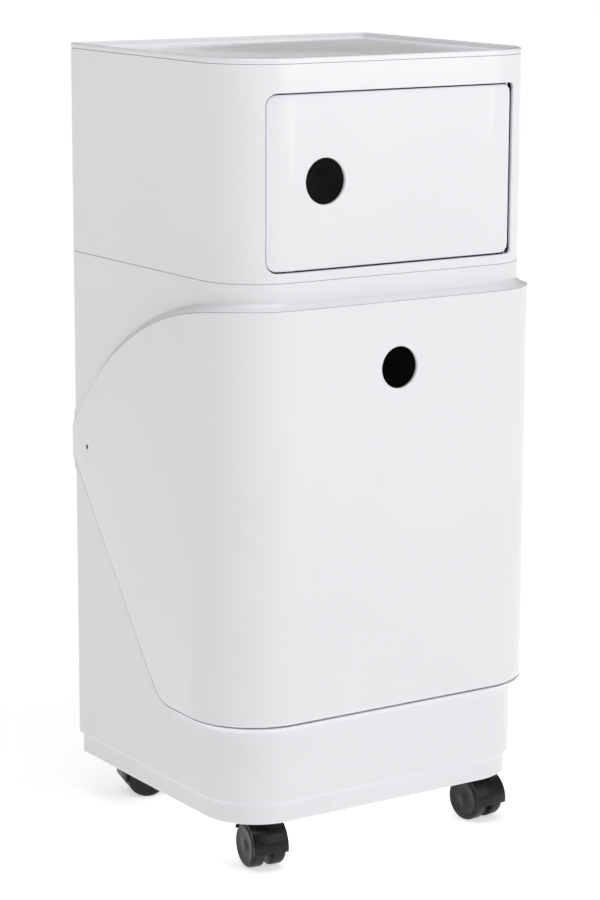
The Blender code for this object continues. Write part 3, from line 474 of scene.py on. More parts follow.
def combined(mesh, *steps):
    """The mesh after exact booleans, given as pairs of an operation and another mesh."""
    holder = bpy.data.objects.new(mesh.name, mesh)
    bpy.context.scene.collection.objects.link(holder)
    others = []
    for operation, other in steps:
        cutter = bpy.data.objects.new(other.name, other)
        bpy.context.scene.collection.objects.link(cutter)
        others.append(cutter)
        modifier = holder.modifiers.new("Boolean", "BOOLEAN")
        modifier.operation = operation
        modifier.solver = "EXACT"
        modifier.object = cutter
    bpy.context.view_layer.update()
    done = bpy.data.meshes.new_from_object(holder.evaluated_get(bpy.context.evaluated_depsgraph_get()))
    for thing in (holder, *others):
        bpy.data.objects.remove(thing)
    cleaned = bmesh.new()
    cleaned.from_mesh(done)
    bmesh.ops.remove_doubles(cleaned, verts=cleaned.verts, dist=2e-6)
    bmesh.ops.dissolve_degenerate(cleaned, edges=cleaned.edges, dist=1e-6)
    cleaned.to_mesh(done)
    cleaned.free()
    return done


def softened(mesh, width, segments=2, angle=radians(40)):
    """The mesh with its sharp edges rounded."""
    holder = bpy.data.objects.new(mesh.name, mesh)
    bpy.context.scene.collection.objects.link(holder)
    modifier = holder.modifiers.new("Round", "BEVEL")
    modifier.width = width
    modifier.segments = segments
    modifier.limit_method = "ANGLE"
    modifier.angle_limit = angle
    modifier.use_clamp_overlap = True
    bpy.context.view_layer.update()
    done = bpy.data.meshes.new_from_object(holder.evaluated_get(bpy.context.evaluated_depsgraph_get()))
    bpy.data.objects.remove(holder)
    return done


def wall_normal(point, face_normal):
    """The exact normal of the plan's wall at a point, or None where the face isn't such a wall."""
    if abs(face_normal.z) > 0.02:
        return None
    side_x = 1 if point.x > 0 else -1
    rear_x, rear_y = WIDTH / 2 - REAR_RADIUS, REAR_PLANE - REAR_RADIUS
    least = 0.985
    if point.y < CORNER_Y and abs(point.x) > CORNER_X:
        exact = Vector((point.x - side_x * CORNER_X, point.y - CORNER_Y, 0)).normalized()
    elif point.y > rear_y and abs(point.x) > rear_x:
        exact = Vector((point.x - side_x * rear_x, point.y - rear_y, 0)).normalized()
    else:
        exact = Vector((side_x, 0, 0) if abs(face_normal.x) > abs(face_normal.y) else (0, 1, 0))
        least = 0.99995
    lean = exact.dot(face_normal)
    if abs(lean) < least:
        return None
    return exact if lean > 0 else -exact


def faired(mesh, walls=True):
    """Smooth shading with crisp creases, and the exact normals of the plan's walls."""
    mesh.shade_smooth()
    mesh.set_sharp_from_angle(angle=SHARP_ANGLE)
    normals = [Vector(normal.vector) for normal in mesh.corner_normals]
    if walls:
        for polygon in mesh.polygons:
            for loop in polygon.loop_indices:
                point = mesh.vertices[mesh.loops[loop].vertex_index].co
                normals[loop] = wall_normal(point, polygon.normal) or normals[loop]
    mesh.normals_split_custom_set(normals)
    return mesh


def finish(name, mesh, material, slot, body, *nodes, walls=True):
    """Make the mesh a piece that rides on a body and stands for CAD nodes."""
    piece = new_piece(name, faired(mesh, walls), material)
    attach(piece, body)
    if nodes:
        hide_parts(*nodes)
    return piece


# ================================================================ cases and trays
def build_top_tray():
    floor_top = HEIGHT - TRAY_DEPTH
    inner = -WALL - GAP - SKIRT_WALL
    skirt = -WALL - GAP
    low = LID_SEAM + GAP
    skirt_low = LID_SEAM - SKIRT_DROP
    profile = [(inner, floor_top - TRAY_FLOOR), (inner, skirt_low), (skirt, skirt_low)]
    profile += [(skirt, low)]
    profile += edge_arc((-SEAM_EDGE, low), (0, low + SEAM_EDGE), (-SEAM_EDGE, low + SEAM_EDGE))
    profile += edge_arc((0, HEIGHT - RIM_EDGE), (-RIM_EDGE, HEIGHT), (-RIM_EDGE, HEIGHT - RIM_EDGE), 6)
    inside = 0.0012
    profile += edge_arc(
        (-TRAY_RIM + inside, HEIGHT), (-TRAY_RIM, HEIGHT - inside), (-TRAY_RIM + inside, HEIGHT - inside)
    )
    fillet = 0.0018
    profile += edge_arc(
        (-TRAY_RIM, floor_top + fillet),
        (-TRAY_RIM - fillet, floor_top),
        (-TRAY_RIM - fillet, floor_top + fillet),
    )
    mesh = stack("top_tray_shell", plan_outline, profile)
    return finish("top_tray_shell", mesh, WHITE, "gloss_white_plastic", "cabinet", "top_tray")


def opening_cutter(name, left, right, low, high, radii, edge):
    """A cutter for a hole in the curved front, flared near the skin so that the rim comes out round."""
    flare = edge + 0.0036
    flared = [radius + flare for radius in radii]
    points = door_outline(left - flare, right + flare, low - flare, high + flare, *flared)
    rings = [[(x, FRONT_PLANE - 0.02, z) for x, z in points]]
    depths = [(-0.003, flare), (edge * 0.10, edge * 0.55), (edge * 0.30, edge * 0.28)]
    depths += [(edge * 0.60, edge * 0.08), (edge, 0.0)]
    for depth, grow in depths:
        grown = [radius + grow for radius in radii]
        points = door_outline(left - grow, right + grow, low - grow, high + grow, *grown)
        rings.append([(x, plan_front_y(x, -depth), z) for x, z in points])
    points = door_outline(left, right, low, high, *radii)
    rings.append([(x, CORNER_Y, z) for x, z in points])
    return ring_loft(name, rings)


def build_upper_case():
    floor_low = MODULE_SEAM + GAP
    inner = -WALL - GAP - SKIRT_WALL
    spigot = -WALL - GAP
    floor_high = floor_low + WALL
    profile = [(inner, floor_low), (inner, MODULE_SEAM - SPIGOT_DROP), (spigot, MODULE_SEAM - SPIGOT_DROP)]
    profile += [(spigot, floor_low)]
    edge_high = floor_low + SEAM_EDGE
    profile += edge_arc((-SEAM_EDGE, floor_low), (0, edge_high), (-SEAM_EDGE, edge_high))
    profile += edge_arc((0, LID_SEAM - SEAM_EDGE), (-SEAM_EDGE, LID_SEAM), (-SEAM_EDGE, LID_SEAM - SEAM_EDGE))
    profile += [(-WALL, LID_SEAM)]
    fillet_high = floor_high + FILLET
    profile += edge_arc((-WALL, fillet_high), (-WALL - FILLET, floor_high), (-WALL - FILLET, fillet_high))
    case = stack("upper_case_shell", plan_outline, profile)
    opening = opening_cutter(
        "door_opening", -DOOR_OPENING_X, DOOR_OPENING_X, DOOR_OPENING_LOW, DOOR_OPENING_HIGH,
        (DOOR_CORNER, DOOR_HINGE_CORNER), DOOR_EDGE,
    )
    mesh = combined(case, ("DIFFERENCE", opening))
    return finish("upper_case_shell", mesh, WHITE, "gloss_white_plastic", "cabinet", "upper_case")


# ---------------------------------------------------------------- the sector of the tilting bin
def foot_shape():
    """The slope's direction and angle, and the centre of the round foot below it."""
    slope = Vector((SECTOR_REAR_Y - SECTOR_FOOT_Y, SECTOR_REAR_LOW - BULGE_LOW)).normalized()
    turn = atan2(slope.y, slope.x)
    centre_y = SECTOR_FOOT_Y - SECTOR_FOOT_RADIUS * (1 - cos(turn)) / sin(turn)
    return slope, turn, Vector((centre_y, BULGE_LOW + SECTOR_FOOT_RADIUS))


def sector_top(y, grow):
    """Height of the sector's upper edge at y: level at the front, then an arc about the pivot."""
    radius = SECTOR_RADIUS + grow
    return PIVOT_Z + sqrt(radius ** 2 - max(0.0, y - PIVOT_Y) ** 2)


def sector_bottom(y, grow):
    """Height of the sector's lower edge at y: a level toe, a round foot and a straight slope."""
    slope, turn, centre = foot_shape()
    radius = SECTOR_FOOT_RADIUS + grow
    reach = y - centre.x
    if reach < 0:
        return centre.y - radius
    if reach < radius * sin(turn):
        return centre.y - sqrt(radius ** 2 - reach ** 2)
    return centre.y - radius * cos(turn) + (reach - radius * sin(turn)) * slope.y / slope.x


def top_stations(rear_y):
    """Stations of the upper edge, evenly spaced from the rear to the front corner."""
    run = rear_y - CORNER_Y
    return [rear_y - run * step / ARC_STEPS for step in range(ARC_STEPS)]


def foot_stations(rear_y):
    """Stations of the lower edge, from the rear to the front, close together round the foot."""
    _, turn, centre = foot_shape()
    reach = (SECTOR_FOOT_RADIUS + COLLAR_REACH) * sin(turn)
    return [rear_y] + [centre.x + reach * (1 - step / FOOT_STEPS) for step in range(FOOT_STEPS + 1)]


def bulge_at(y):
    """How far the bin stands off the case at y: fully round the front, then less and less to the rear."""
    share = (y - CORNER_Y) / (SECTOR_REAR_Y - CORNER_Y)
    return BULGE - (BULGE - BULGE_REAR) * min(max(share, 0.0), 1.0) ** BULGE_TAPER


def side_path(share, sink, straight):
    """Points round the front from rear left to rear right: a share of the bulge off the case, less sink."""
    points = [(-WIDTH / 2 - share * bulge_at(y) + sink, y) for y in straight]
    points += corner(-CORNER_X, CORNER_Y, FRONT_RADIUS + share * BULGE - sink, pi, CORNER_STEPS)
    return points + [(-x, y) for x, y in reversed(points)]


def collar_profile():
    """The collar's section: distance from the bin's edge, share of the bulge, and depth below that."""
    lip = [(0.0, 0.0, COLLAR_ROOT), (0.0, 1.0, 0.0005), (0.00012, 1.0, 0.0002), (0.0003, 1.0, 0.0001)]
    lip += [(0.00055, 1.0, 0.0003)]
    start = 0.0008
    for step in range(COLLAR_STEPS + 1):
        along = (step / COLLAR_STEPS) ** 1.25
        height = (1 - along) ** COLLAR_POWER
        lip.append((start + (COLLAR_REACH - start) * along, height, 0.0009 * height + 0.00016 * along))
    return lip + [(COLLAR_REACH, 0.0, COLLAR_ROOT)]


def collar_band(name, edge, gap, stations):
    """A closed loft that flares the case out, in a hollow curve, to one edge of the bulged bin."""
    loft = bmesh.new()
    rows = []
    for grow, share, sink in collar_profile():
        points = side_path(share, sink, stations)
        rows.append([loft.verts.new((x, y, edge(y, gap + grow))) for x, y in points])
    for first, second in zip(rows, rows[1:] + rows[:1]):
        for index in range(len(first) - 1):
            loft.faces.new((first[index], first[index + 1], second[index + 1], second[index]))
    loft.faces.new([row[0] for row in rows])
    loft.faces.new([row[-1] for row in rows])
    return mesh_from(name, loft)


def stop_slot_outline():
    """The curved slot in the case's side that the bin's stop pin runs in."""
    reach = Vector((STOP_PIN_Y - PIVOT_Y, STOP_PIN_Z - PIVOT_Z))
    margin = (STOP_PIN_RADIUS + STOP_PIN_PLAY) / reach.length
    start = atan2(reach.y, reach.x) - margin
    end = start + BIN_TILT + 2 * margin
    angles = [start + (end - start) * step / SLOT_STEPS for step in range(SLOT_STEPS + 1)]
    outer, inner = reach.length + STOP_SLOT_HALF, reach.length - STOP_SLOT_HALF
    points = [(PIVOT_Y + outer * cos(angle), PIVOT_Z + outer * sin(angle)) for angle in angles]
    back = reversed(angles)
    return points + [(PIVOT_Y + inner * cos(angle), PIVOT_Z + inner * sin(angle)) for angle in back]


def build_lower_case():
    floor_low = PLINTH_LOW + WALL
    floor_high = floor_low + WALL
    profile = [(-WALL, floor_low), (-WALL, SKIRT_LOW)]
    profile += edge_arc(
        (-PLINTH_EDGE, SKIRT_LOW), (0, SKIRT_LOW + PLINTH_EDGE), (-PLINTH_EDGE, SKIRT_LOW + PLINTH_EDGE)
    )
    edge_low = MODULE_SEAM - SEAM_EDGE
    profile += edge_arc((0, edge_low), (-SEAM_EDGE, MODULE_SEAM), (-SEAM_EDGE, edge_low))
    profile += [(-WALL, MODULE_SEAM)]
    fillet_high = floor_high + FILLET
    profile += edge_arc((-WALL, fillet_high), (-WALL - FILLET, floor_high), (-WALL - FILLET, fillet_high))
    case = stack("lower_case_shell", plan_outline, profile)
    half = WIDTH / 2
    steps = [
        ("UNION", collar_band("collar_top", sector_top, COLLAR_TOP_GAP, top_stations(SECTOR_REAR_Y))),
        ("UNION", collar_band("collar_bottom", sector_bottom, COLLAR_LOW_GAP, foot_stations(SECTOR_REAR_Y))),
        ("DIFFERENCE", side_prism("slot_left", stop_slot_outline(), -half - 0.01, -half + 0.01)),
        ("DIFFERENCE", side_prism("slot_right", stop_slot_outline(), half - 0.01, half + 0.01)),
    ]
    opening = round_rectangle(
        -BIN_OPENING_X, BIN_OPENING_X, BIN_OPENING_LOW, BIN_OPENING_HIGH, BIN_OPENING_CORNER
    )
    rings = [[(x, y, z) for x, z in opening] for y in (FRONT_PLANE - 0.02, FRONT_PLANE + 0.05)]
    steps.append(("DIFFERENCE", ring_loft("bin_opening", rings)))
    mesh = combined(case, *steps)
    return finish("lower_case_shell", mesh, WHITE, "gloss_white_plastic", "cabinet", "lower_case")


def base_screw_places():
    middle = (FRONT_PLANE + REAR_PLANE) / 2
    edge = WIDTH / 2 - BASE_SCREW_INSET
    return (
        (0.0, FRONT_PLANE + BASE_SCREW_INSET),
        (0.0, REAR_PLANE - BASE_SCREW_INSET),
        (-edge, middle),
        (edge, middle),
    )


def build_base_tray():
    inner = -BASE_INSET - BASE_WALL
    flange_top = PLINTH_LOW + WALL - GAP
    edge = PLINTH_EDGE
    outer = -BASE_INSET
    profile = [(inner, BASE_PLATE_LOW), (inner, BASE_LOW)]
    profile += edge_arc((outer - edge, BASE_LOW), (outer, BASE_LOW + edge), (outer - edge, BASE_LOW + edge))
    profile += [(outer, SKIRT_LOW - GAP), (-WALL - GAP, SKIRT_LOW - GAP), (-WALL - GAP, flange_top)]
    profile += [(inner, flange_top), (inner, BASE_PLATE_HIGH)]
    base = stack("base_tray_shell", plan_outline, profile)
    steps = []
    for index, (x, y) in enumerate(base_screw_places()):
        post = rod(f"post_{index}", BASE_POST_RADIUS, (x, y, BASE_PLATE_HIGH - 0.001), (x, y, flange_top))
        hole = rod(f"hole_{index}", SCREW_SPACE, (x, y, BASE_LOW), (x, y, PLINTH_LOW + 0.01))
        steps += [("UNION", post), ("DIFFERENCE", hole)]
    for name in CASTERS:
        x, y, _ = JOINTS[f"caster_{name}_swivel"]["pos_m"]
        socket = rod(f"socket_{name}", SOCKET_SPACE, (x, y, BASE_LOW), (x, y, PLINTH_LOW))
        steps.append(("DIFFERENCE", socket))
    mesh = combined(base, *steps)
    return finish("base_tray_shell", mesh, WHITE, "gloss_white_plastic", "cabinet", "base_tray")


# ================================================================ door
def columns_fill(loft, ring):
    """Strips across a ring that has matching points along its top and its bottom."""
    half = len(ring) // 2
    top, bottom = ring[:half], list(reversed(ring[half:]))
    for index in range(half - 1):
        loft.faces.new((top[index], top[index + 1], bottom[index + 1], bottom[index]))


def build_door():
    left, right = -DOOR_OPENING_X + DOOR_EDGE_GAP, DOOR_OPENING_X - DOOR_HINGE_GAP
    low, high = DOOR_OPENING_LOW + DOOR_EDGE_GAP, DOOR_OPENING_HIGH - DOOR_EDGE_GAP
    radius = DOOR_CORNER - DOOR_EDGE_GAP
    sections = edge_arc((DOOR_EDGE, 0), (0, DOOR_EDGE), (DOOR_EDGE, DOOR_EDGE), 5)
    small = 0.0004
    sections += [(0, DOOR_FLANGE_DEPTH - small), (small, DOOR_FLANGE_DEPTH)]
    sections += [(DOOR_FLANGE, DOOR_FLANGE_DEPTH), (DOOR_FLANGE, DOOR_SKIN)]
    loft = bmesh.new()
    rings = []
    for inset, depth in sections:
        points = door_outline(left + inset, right - inset, low + inset, high - inset, radius - inset)
        rings.append([loft.verts.new((x, plan_front_y(x, -DOOR_RECESS - depth), z)) for x, z in points])
    for first, second in zip(rings, rings[1:]):
        for index in range(len(first)):
            after = (index + 1) % len(first)
            loft.faces.new((first[index], first[after], second[after], second[index]))
    columns_fill(loft, rings[0])
    columns_fill(loft, rings[-1])
    door = mesh_from("door_panel_shell", loft)
    middle = (low + high) / 2
    steps = []
    for end, direction in ((low, 1), (high, -1)):
        boss_end = end + direction * HINGE_BOSS_LENGTH
        start = (HINGE_X, HINGE_Y, end + direction * HINGE_BOSS_SETBACK)
        steps.append(("UNION", rod("hinge_boss", HINGE_BOSS_RADIUS, start, (HINGE_X, HINGE_Y, boss_end))))
        bore = (HINGE_X, HINGE_Y, end - direction * 0.01), (HINGE_X, HINGE_Y, boss_end - direction * 0.001)
        steps.append(("DIFFERENCE", rod("hinge_bore", HINGE_PIN_SPACE, *bore)))
    hole = finger_cutter("door_hole", DOOR_HOLE_X, middle, DOOR_HOLE_RADIUS, DOOR_RECESS)
    steps.append(("DIFFERENCE", hole))
    mesh = combined(door, *steps)
    return finish("door_panel_shell", mesh, WHITE, "gloss_white_plastic", "door", "door_panel")


def finger_cutter(name, x, z, radius, recess):
    """A cutter for a round finger hole whose outer rim comes out round."""
    face_y = FRONT_PLANE + recess
    edge = HOLE_EDGE
    profile = [(0, -0.004), (radius + edge + 0.0036, -0.004)]
    profile += [(radius + edge * 0.55, edge * 0.10), (radius + edge * 0.28, edge * 0.30)]
    profile += [(radius + edge * 0.08, edge * 0.60), (radius, edge), (radius, 0.03), (0, 0.03)]
    turn = Vector((0, 0, 1)).rotation_difference(Vector((0, 1, 0))).to_matrix().to_4x4()
    return turned(name, profile, Matrix.Translation((x, face_y, z)) @ turn, HOLE_SIDES)


# ================================================================ bin
def outer_section(sink, facing):
    """The wall's section at one station: share of the bulge, depth below it, distance in and the edge."""
    low_edge = BIN_EDGE + (TOE_RADIUS - BIN_EDGE) * facing ** 2
    low = edge_arc((sink + low_edge, 0), (sink, low_edge), (sink + low_edge, low_edge))
    high = edge_arc((sink, BIN_EDGE), (sink + BIN_EDGE, 0), (sink + BIN_EDGE, BIN_EDGE))
    section = [(0.0, -BIN_CLEARANCE, 0.0, "low")] + [(1.0, depth, inset, "low") for depth, inset in low]
    section += [(1.0, depth, inset, "high") for depth, inset in high]
    return section + [(0.0, -BIN_CLEARANCE, 0.0, "high")]


def hollow_section(sink, _):
    """The hollow's section at one station, reaching inside the case's own wall."""
    inside = (0.0, BIN_SKIN - BIN_CLEARANCE, BIN_SKIN)
    outside = (1.0, sink, BIN_SKIN)
    return [(*inside, "low"), (*outside, "low"), (*outside, "high"), (*inside, "high")]


def bin_body(name, rear_y, sections_at, insets):
    """A closed loft round the front, from one wing's rear edge to the other's."""
    along_foot = [y for y in foot_stations(rear_y) if y > CORNER_Y]
    stations = sorted(set(top_stations(rear_y) + along_foot), reverse=True)
    kept = [stations[0]]
    for y in stations[1:]:
        if kept[-1] - y > LEAST_STATION_STEP and y - CORNER_Y > LEAST_STATION_STEP:
            kept.append(y)
    rounding = [BIN_EDGE * (1 - sin(pi / 2 * step / EDGE_STEPS)) for step in range(EDGE_STEPS, 0, -1)]
    if insets:
        kept = [rear_y - value for value in rounding] + [y for y in kept[1:] if y < rear_y - BIN_EDGE]
        kept.insert(EDGE_STEPS, rear_y - BIN_EDGE)
    count = len(kept)
    loft = bmesh.new()
    rows = []
    total = 2 * (count + CORNER_STEPS + 1)
    for index in range(total):
        place = min(index, total - 1 - index)
        reach = kept[place] if place < count else None
        sink = 0.0 if insets else BIN_SKIN
        if insets and reach is not None and rear_y - reach < BIN_EDGE:
            back = (reach - (rear_y - BIN_EDGE)) / BIN_EDGE
            sink = BIN_EDGE * (1 - sqrt(max(1 - back ** 2, 0.0)))
        facing = sin(pi / 2 * max(place - count, 0) / CORNER_STEPS)
        row = []
        for share, depth, inset, edge in sections_at(sink, facing):
            x, y = side_path(share, depth, kept)[index]
            z = sector_bottom(y, -inset) if edge == "low" else sector_top(y, -inset)
            row.append(loft.verts.new((x, y, z)))
        rows.append(row)
    for first, second in zip(rows, rows[1:]):
        for index in range(len(first)):
            after = (index + 1) % len(first)
            loft.faces.new((first[index], first[after], second[after], second[index]))
    loft.faces.new(rows[0])
    loft.faces.new(rows[-1])
    return mesh_from(name, loft)


def build_bin_front():
    front = bin_body("bin_front_shell", SECTOR_REAR_Y, outer_section, True)
    hollow = bin_body("bin_hollow", SECTOR_REAR_Y - BIN_SKIN, hollow_section, False)
    steps = [("DIFFERENCE", hollow)]
    skin_y = FRONT_PLANE - BULGE + BIN_SKIN
    bucket_front = BUCKET_BOX_LOW.y
    for side in (-1, 1):
        for level in BUCKET_BOSS_LEVELS:
            x = side * BUCKET_BOSS_X
            post = rod("boss", BUCKET_BOSS_RADIUS, (x, skin_y - 0.001, level), (x, bucket_front - GAP, level))
            bore = rod("bore", SCREW_SPACE, (x, skin_y + 0.002, level), (x, bucket_front + 0.01, level))
            steps += [("UNION", post), ("DIFFERENCE", bore)]
        left, right = sorted((side * LUG_X, side * (LUG_X + LUG_WIDTH)))
        near, far = sorted((side * NOTCH_X[0], side * NOTCH_X[1]))
        notch = block("notch", (near, skin_y, BULGE_LOW - 0.002), (far, FRONT_PLANE, PIVOT_Z - 0.001))
        steps.append(("DIFFERENCE", notch))
        knuckle = rod("knuckle", KNUCKLE_RADIUS, (left, PIVOT_Y, PIVOT_Z), (right, PIVOT_Y, PIVOT_Z))
        arm_low = PIVOT_Z - KNUCKLE_RADIUS * 0.9
        arm = block("lug", (left, skin_y - 0.001, arm_low), (right, PIVOT_Y, PIVOT_Z + LUG_RISE))
        bore_ends = (left - 0.001, PIVOT_Y, PIVOT_Z), (right + 0.001, PIVOT_Y, PIVOT_Z)
        bore = rod("lug_bore", KNUCKLE_BORE, *bore_ends)
        steps += [("UNION", knuckle), ("UNION", arm), ("DIFFERENCE", bore)]
        inner_x, outer_x = side * (WIDTH / 2 - 0.001), side * (WIDTH / 2 + 0.02)
        pin_ends = (inner_x, STOP_PIN_Y, STOP_PIN_Z), (outer_x, STOP_PIN_Y, STOP_PIN_Z)
        steps.append(("DIFFERENCE", rod("pin_hole", STOP_PIN_RADIUS + GAP, *pin_ends)))
    steps.append(("DIFFERENCE", finger_cutter("bin_hole", 0.0, BIN_HOLE_Z, BIN_HOLE_RADIUS, -BULGE)))
    mesh = combined(front, *steps)
    return finish("bin_front_shell", mesh, WHITE, "gloss_white_plastic", "bin", "bin_front")


def bucket_outline(offset):
    low, high = BUCKET_BOX_LOW, BUCKET_BOX_HIGH
    left, right = low.x - offset, high.x + offset
    return round_rectangle(left, right, low.y - offset, high.y + offset, BUCKET_CORNER + offset)


def build_bucket():
    low, high = BUCKET_BOX_LOW.z, BUCKET_BOX_HIGH.z
    foot, lip, inside = 0.006, 0.0011, 0.0045
    floor = low + BUCKET_WALL
    profile = edge_arc((-foot, low), (0, low + foot), (-foot, low + foot), 6)
    profile += edge_arc((0, high - lip), (-lip, high), (-lip, high - lip))
    inner, fillet = -BUCKET_WALL, floor + inside
    profile += edge_arc((inner + lip, high), (inner, high - lip), (inner + lip, high - lip))
    profile += edge_arc((inner, fillet), (inner - inside, floor), (inner - inside, fillet), 6)
    bucket = stack("bin_bucket_shell", bucket_outline, profile)
    front = BUCKET_BOX_LOW.y
    steps = []
    for side in (-1, 1):
        for level in BUCKET_BOSS_LEVELS:
            x = side * BUCKET_BOSS_X
            hole = rod("hole", SCREW_SPACE, (x, front - 0.01, level), (x, front + 0.01, level))
            steps.append(("DIFFERENCE", hole))
    mesh = combined(bucket, *steps)
    slot = "satin_light_grey_plastic"
    return finish("bin_bucket_shell", mesh, GREY, slot, "bin", "bin_bucket", walls=False)


# ================================================================ casters
CASTERS = ("front_left", "front_right", "rear_left", "rear_right")


def caster_frame(name):
    """The place of a caster's axle: X along the axle, Z up."""
    joint = JOINTS[f"caster_{name}_spin_left"]
    across = Vector(joint["axis"]).normalized()
    up = Vector((0, 0, 1))
    along = up.cross(across)
    turn = Matrix((across, along, up)).transposed().to_4x4()
    return Matrix.Translation(joint["pos_m"]) @ turn


def wheel_profile():
    """A wheel's half section: a dished face with a raised hub cap, a round shoulder and a tread."""
    edge = 0.0042
    angles = [pi / 2 * step / 8 for step in range(9)]
    shoulder = [
        (WHEEL_RADIUS - edge + edge * sin(angle), WHEEL_WIDTH - edge + edge * cos(angle)) for angle in angles
    ]
    face = [(0, WHEEL_WIDTH - 0.0004), (0.0052, WHEEL_WIDTH - 0.0004), (0.0060, WHEEL_WIDTH - 0.0008)]
    face += [(0.0066, WHEEL_WIDTH - 0.0010), (0.0140, WHEEL_WIDTH - 0.0008), (0.0172, WHEEL_WIDTH - 0.0003)]
    bore = AXLE_SPACE
    bore_top = WHEEL_WIDTH - 0.0042
    tread = [(WHEEL_RADIUS, 0.0012), (WHEEL_RADIUS - 0.0004, 0.0004), (WHEEL_RADIUS - 0.0012, 0)]
    return face + shoulder + tread + [(bore, 0), (bore, bore_top), (0, bore_top)]


def build_hood(name, place):
    """A round shell over both wheels, with a middle web, a boss for the stem and an open foot."""
    half = WEB_HALF + WHEEL_SIDE_GAP + WHEEL_WIDTH
    disc = rod(f"caster_{name}_hood_shell", HOOD_OUTER, (-half, 0, 0), (half, 0, 0), WHEEL_SIDES)
    cuts = [
        ("DIFFERENCE", block("below", (-0.05, -0.05, -0.05), (0.05, 0.05, HOOD_LOW - WHEEL_RADIUS))),
        ("DIFFERENCE", block("behind", (-0.05, HOOD_REAR, -0.04), (0.05, 0.06, 0.04))),
        ("UNION", rod("boss", BOSS_RADIUS, (0, TRAIL, 0.0145), (0, TRAIL, BOSS_HIGH - WHEEL_RADIUS))),
        ("DIFFERENCE", rod("left", HOOD_INNER, (-half - 0.01, 0, 0), (-WEB_HALF, 0, 0), WHEEL_SIDES)),
        ("DIFFERENCE", rod("right", HOOD_INNER, (WEB_HALF, 0, 0), (half + 0.01, 0, 0), WHEEL_SIDES)),
        ("DIFFERENCE", rod("axle", AXLE_SPACE, (-0.02, 0, 0), (0.02, 0, 0))),
        ("DIFFERENCE", rod("stem", STEM_SPACE, (0, TRAIL, STEM_SPACE_LOW - WHEEL_RADIUS), (0, TRAIL, 0.05))),
    ]
    mesh = softened(combined(disc, *cuts), 0.0006, 2)
    mesh.transform(place)
    return mesh


def build_casters():
    for name in CASTERS:
        place = caster_frame(name)
        hood = build_hood(name, place)
        body = JOINTS[f"caster_{name}_swivel"]["child"]
        piece = f"caster_{name}_hood_shell"
        finish(piece, hood, BLACK, "gloss_black_plastic", body, f"caster_{name}_hood", walls=False)
        for side, hand in ((-1, "left"), (1, "right")):
            turn = Matrix.Rotation(side * pi / 2, 4, "Y")
            seat = place @ Matrix.Translation((side * (WEB_HALF + WHEEL_SIDE_GAP), 0, 0)) @ turn
            mesh = turned(f"caster_{name}_wheel_{hand}_shell", wheel_profile(), seat, WHEEL_SIDES)
            finish(
                mesh.name, mesh, TREAD, "wheel_black_plastic", JOINTS[f"caster_{name}_spin_{hand}"]["child"],
                f"caster_{name}_wheel_{hand}", walls=False,
            )


# ================================================================ carried-over CAD nodes
def dress_fixings():
    """Each small fixing keeps its CAD mesh and takes its slot's procedural material."""
    shades = {
        "zinc_steel": ZINC,
        "dark_nylon": DARK,
        "gloss_black_plastic": BLACK,
        "satin_light_grey_plastic": GREY,
        "wheel_black_plastic": TREAD,
        "gloss_white_plastic": WHITE,
    }
    for part in frame["nodes"].values():
        for holder in part.material_slots:
            holder.material = shades[holder.material.name.split(".")[0]]


# ================================================================ floor, lights and camera
def build_floor():
    """A pale floor that glows a little as painted light, and less beside the object than far from it as a
    painted shadow round the object.
    """
    half = 30.0
    loft = bmesh.new()
    bmesh.ops.create_grid(loft, x_segments=8, y_segments=8, size=half)
    mesh = bpy.data.meshes.new("studio_floor")
    loft.to_mesh(mesh)
    loft.free()
    material = bpy.data.materials.new("pale_floor")
    material.use_nodes = True
    tree = material.node_tree
    shader = tree.nodes["Principled BSDF"]
    coordinates = node(tree, "ShaderNodeTexCoord").outputs["Object"]
    clouds = map_range(tree, noise(tree, coordinates, 1.5, 3), 0.3, 0.7, 0.0, 1.0)
    base = mix_colour(tree, clouds, (0.93, 0.93, 0.93), (0.92, 0.92, 0.92))
    tree.links.new(base, shader.inputs["Base Color"])
    shader.inputs["Roughness"].default_value = 0.7
    shader.inputs["Specular IOR Level"].default_value = 0.2
    # Painted light: the floor's emission lights the object from below, and is weaker near the object as a
    # painted shadow round it.
    shader.inputs["Emission Color"].default_value = (1.0, 1.0, 1.0, 1.0)
    reach = node(tree, "ShaderNodeVectorMath", operation="LENGTH")
    tree.links.new(coordinates, reach.inputs[0])
    painted_floor_light = map_range(tree, reach.outputs["Value"], 0.5, 2.5, 0.56, 0.74)
    tree.links.new(painted_floor_light, shader.inputs["Emission Strength"])
    new_piece("studio_floor", mesh, material)


def area_light(name, place, target, size, power):
    """A rectangular light at place, turned to face target."""
    light = bpy.data.lights.new(name, "AREA")
    light.shape = "RECTANGLE"
    light.size, light.size_y = size
    light.energy = power
    holder = bpy.data.objects.new(name, light)
    bpy.context.scene.collection.objects.link(holder)
    place = Vector(place)
    holder.location = place
    holder.rotation_euler = (Vector(target) - place).to_track_quat("-Z", "Y").to_euler()


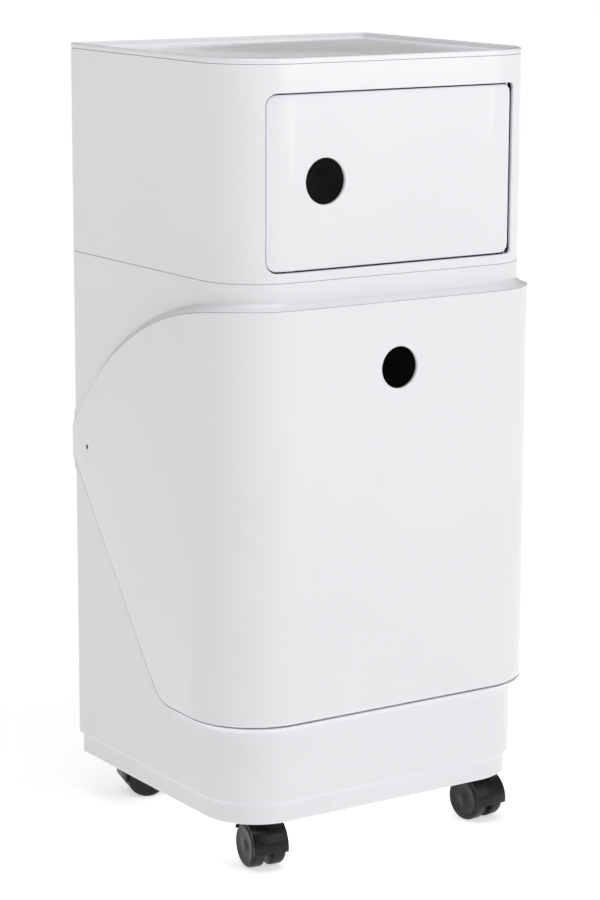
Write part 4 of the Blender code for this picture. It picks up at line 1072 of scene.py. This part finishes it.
def build_lights():
    """A soft white world, a key light at the front right, a light above and a weak fill at the left."""
    world = bpy.data.worlds.new("studio")
    bpy.context.scene.world = world
    world.use_nodes = True
    tree = world.node_tree
    background = tree.nodes["Background"]
    background.inputs["Color"].default_value = (0.985, 0.992, 1.0, 1.0)
    background.inputs["Strength"].default_value = 0.30
    white = node(tree, "ShaderNodeBackground")
    white.inputs["Color"].default_value = (1.0, 1.0, 1.0, 1.0)
    white.inputs["Strength"].default_value = 1.0
    mixed = node(tree, "ShaderNodeMixShader")
    path = node(tree, "ShaderNodeLightPath")
    tree.links.new(path.outputs["Is Camera Ray"], mixed.inputs[0])
    tree.links.new(background.outputs[0], mixed.inputs[1])
    tree.links.new(white.outputs[0], mixed.inputs[2])
    tree.links.new(mixed.outputs[0], tree.nodes["World Output"].inputs["Surface"])
    middle = (0.0, 0.0, 0.45)
    area_light("key_front_right", (1.3, -2.7, 1.5), middle, (2.2, 2.0), 21)
    area_light("top_soft", (-0.15, -0.35, 1.95), middle, (1.3, 1.3), 12)
    area_light("left_fill", (-2.8, 0.4, 1.1), middle, (1.8, 1.8), 1.5)


def build_camera():
    camera = bpy.data.cameras.new("studio_camera")
    camera.sensor_fit = "VERTICAL"
    camera.sensor_height = 36.0
    camera.lens = 111.34
    camera.clip_start = 0.05
    camera.clip_end = 60.0
    holder = bpy.data.objects.new("studio_camera", camera)
    bpy.context.scene.collection.objects.link(holder)
    yaw, pitch, roll = 0.5843, 0.2058, 0.0038
    ahead = Vector((sin(yaw) * cos(pitch), cos(yaw) * cos(pitch), -sin(pitch)))
    turn = ahead.to_track_quat("-Z", "Y").to_matrix().to_4x4() @ Matrix.Rotation(roll, 4, "Z")
    holder.matrix_world = Matrix.Translation((-1.616, -2.4321, 1.0098)) @ turn
    bpy.context.scene.camera = holder


build_top_tray()
build_upper_case()
build_lower_case()
build_base_tray()
build_door()
build_bin_front()
build_bucket()
build_casters()
dress_fixings()
build_floor()
build_lights()
build_camera()
bpy.context.scene.view_settings.view_transform = "Standard"
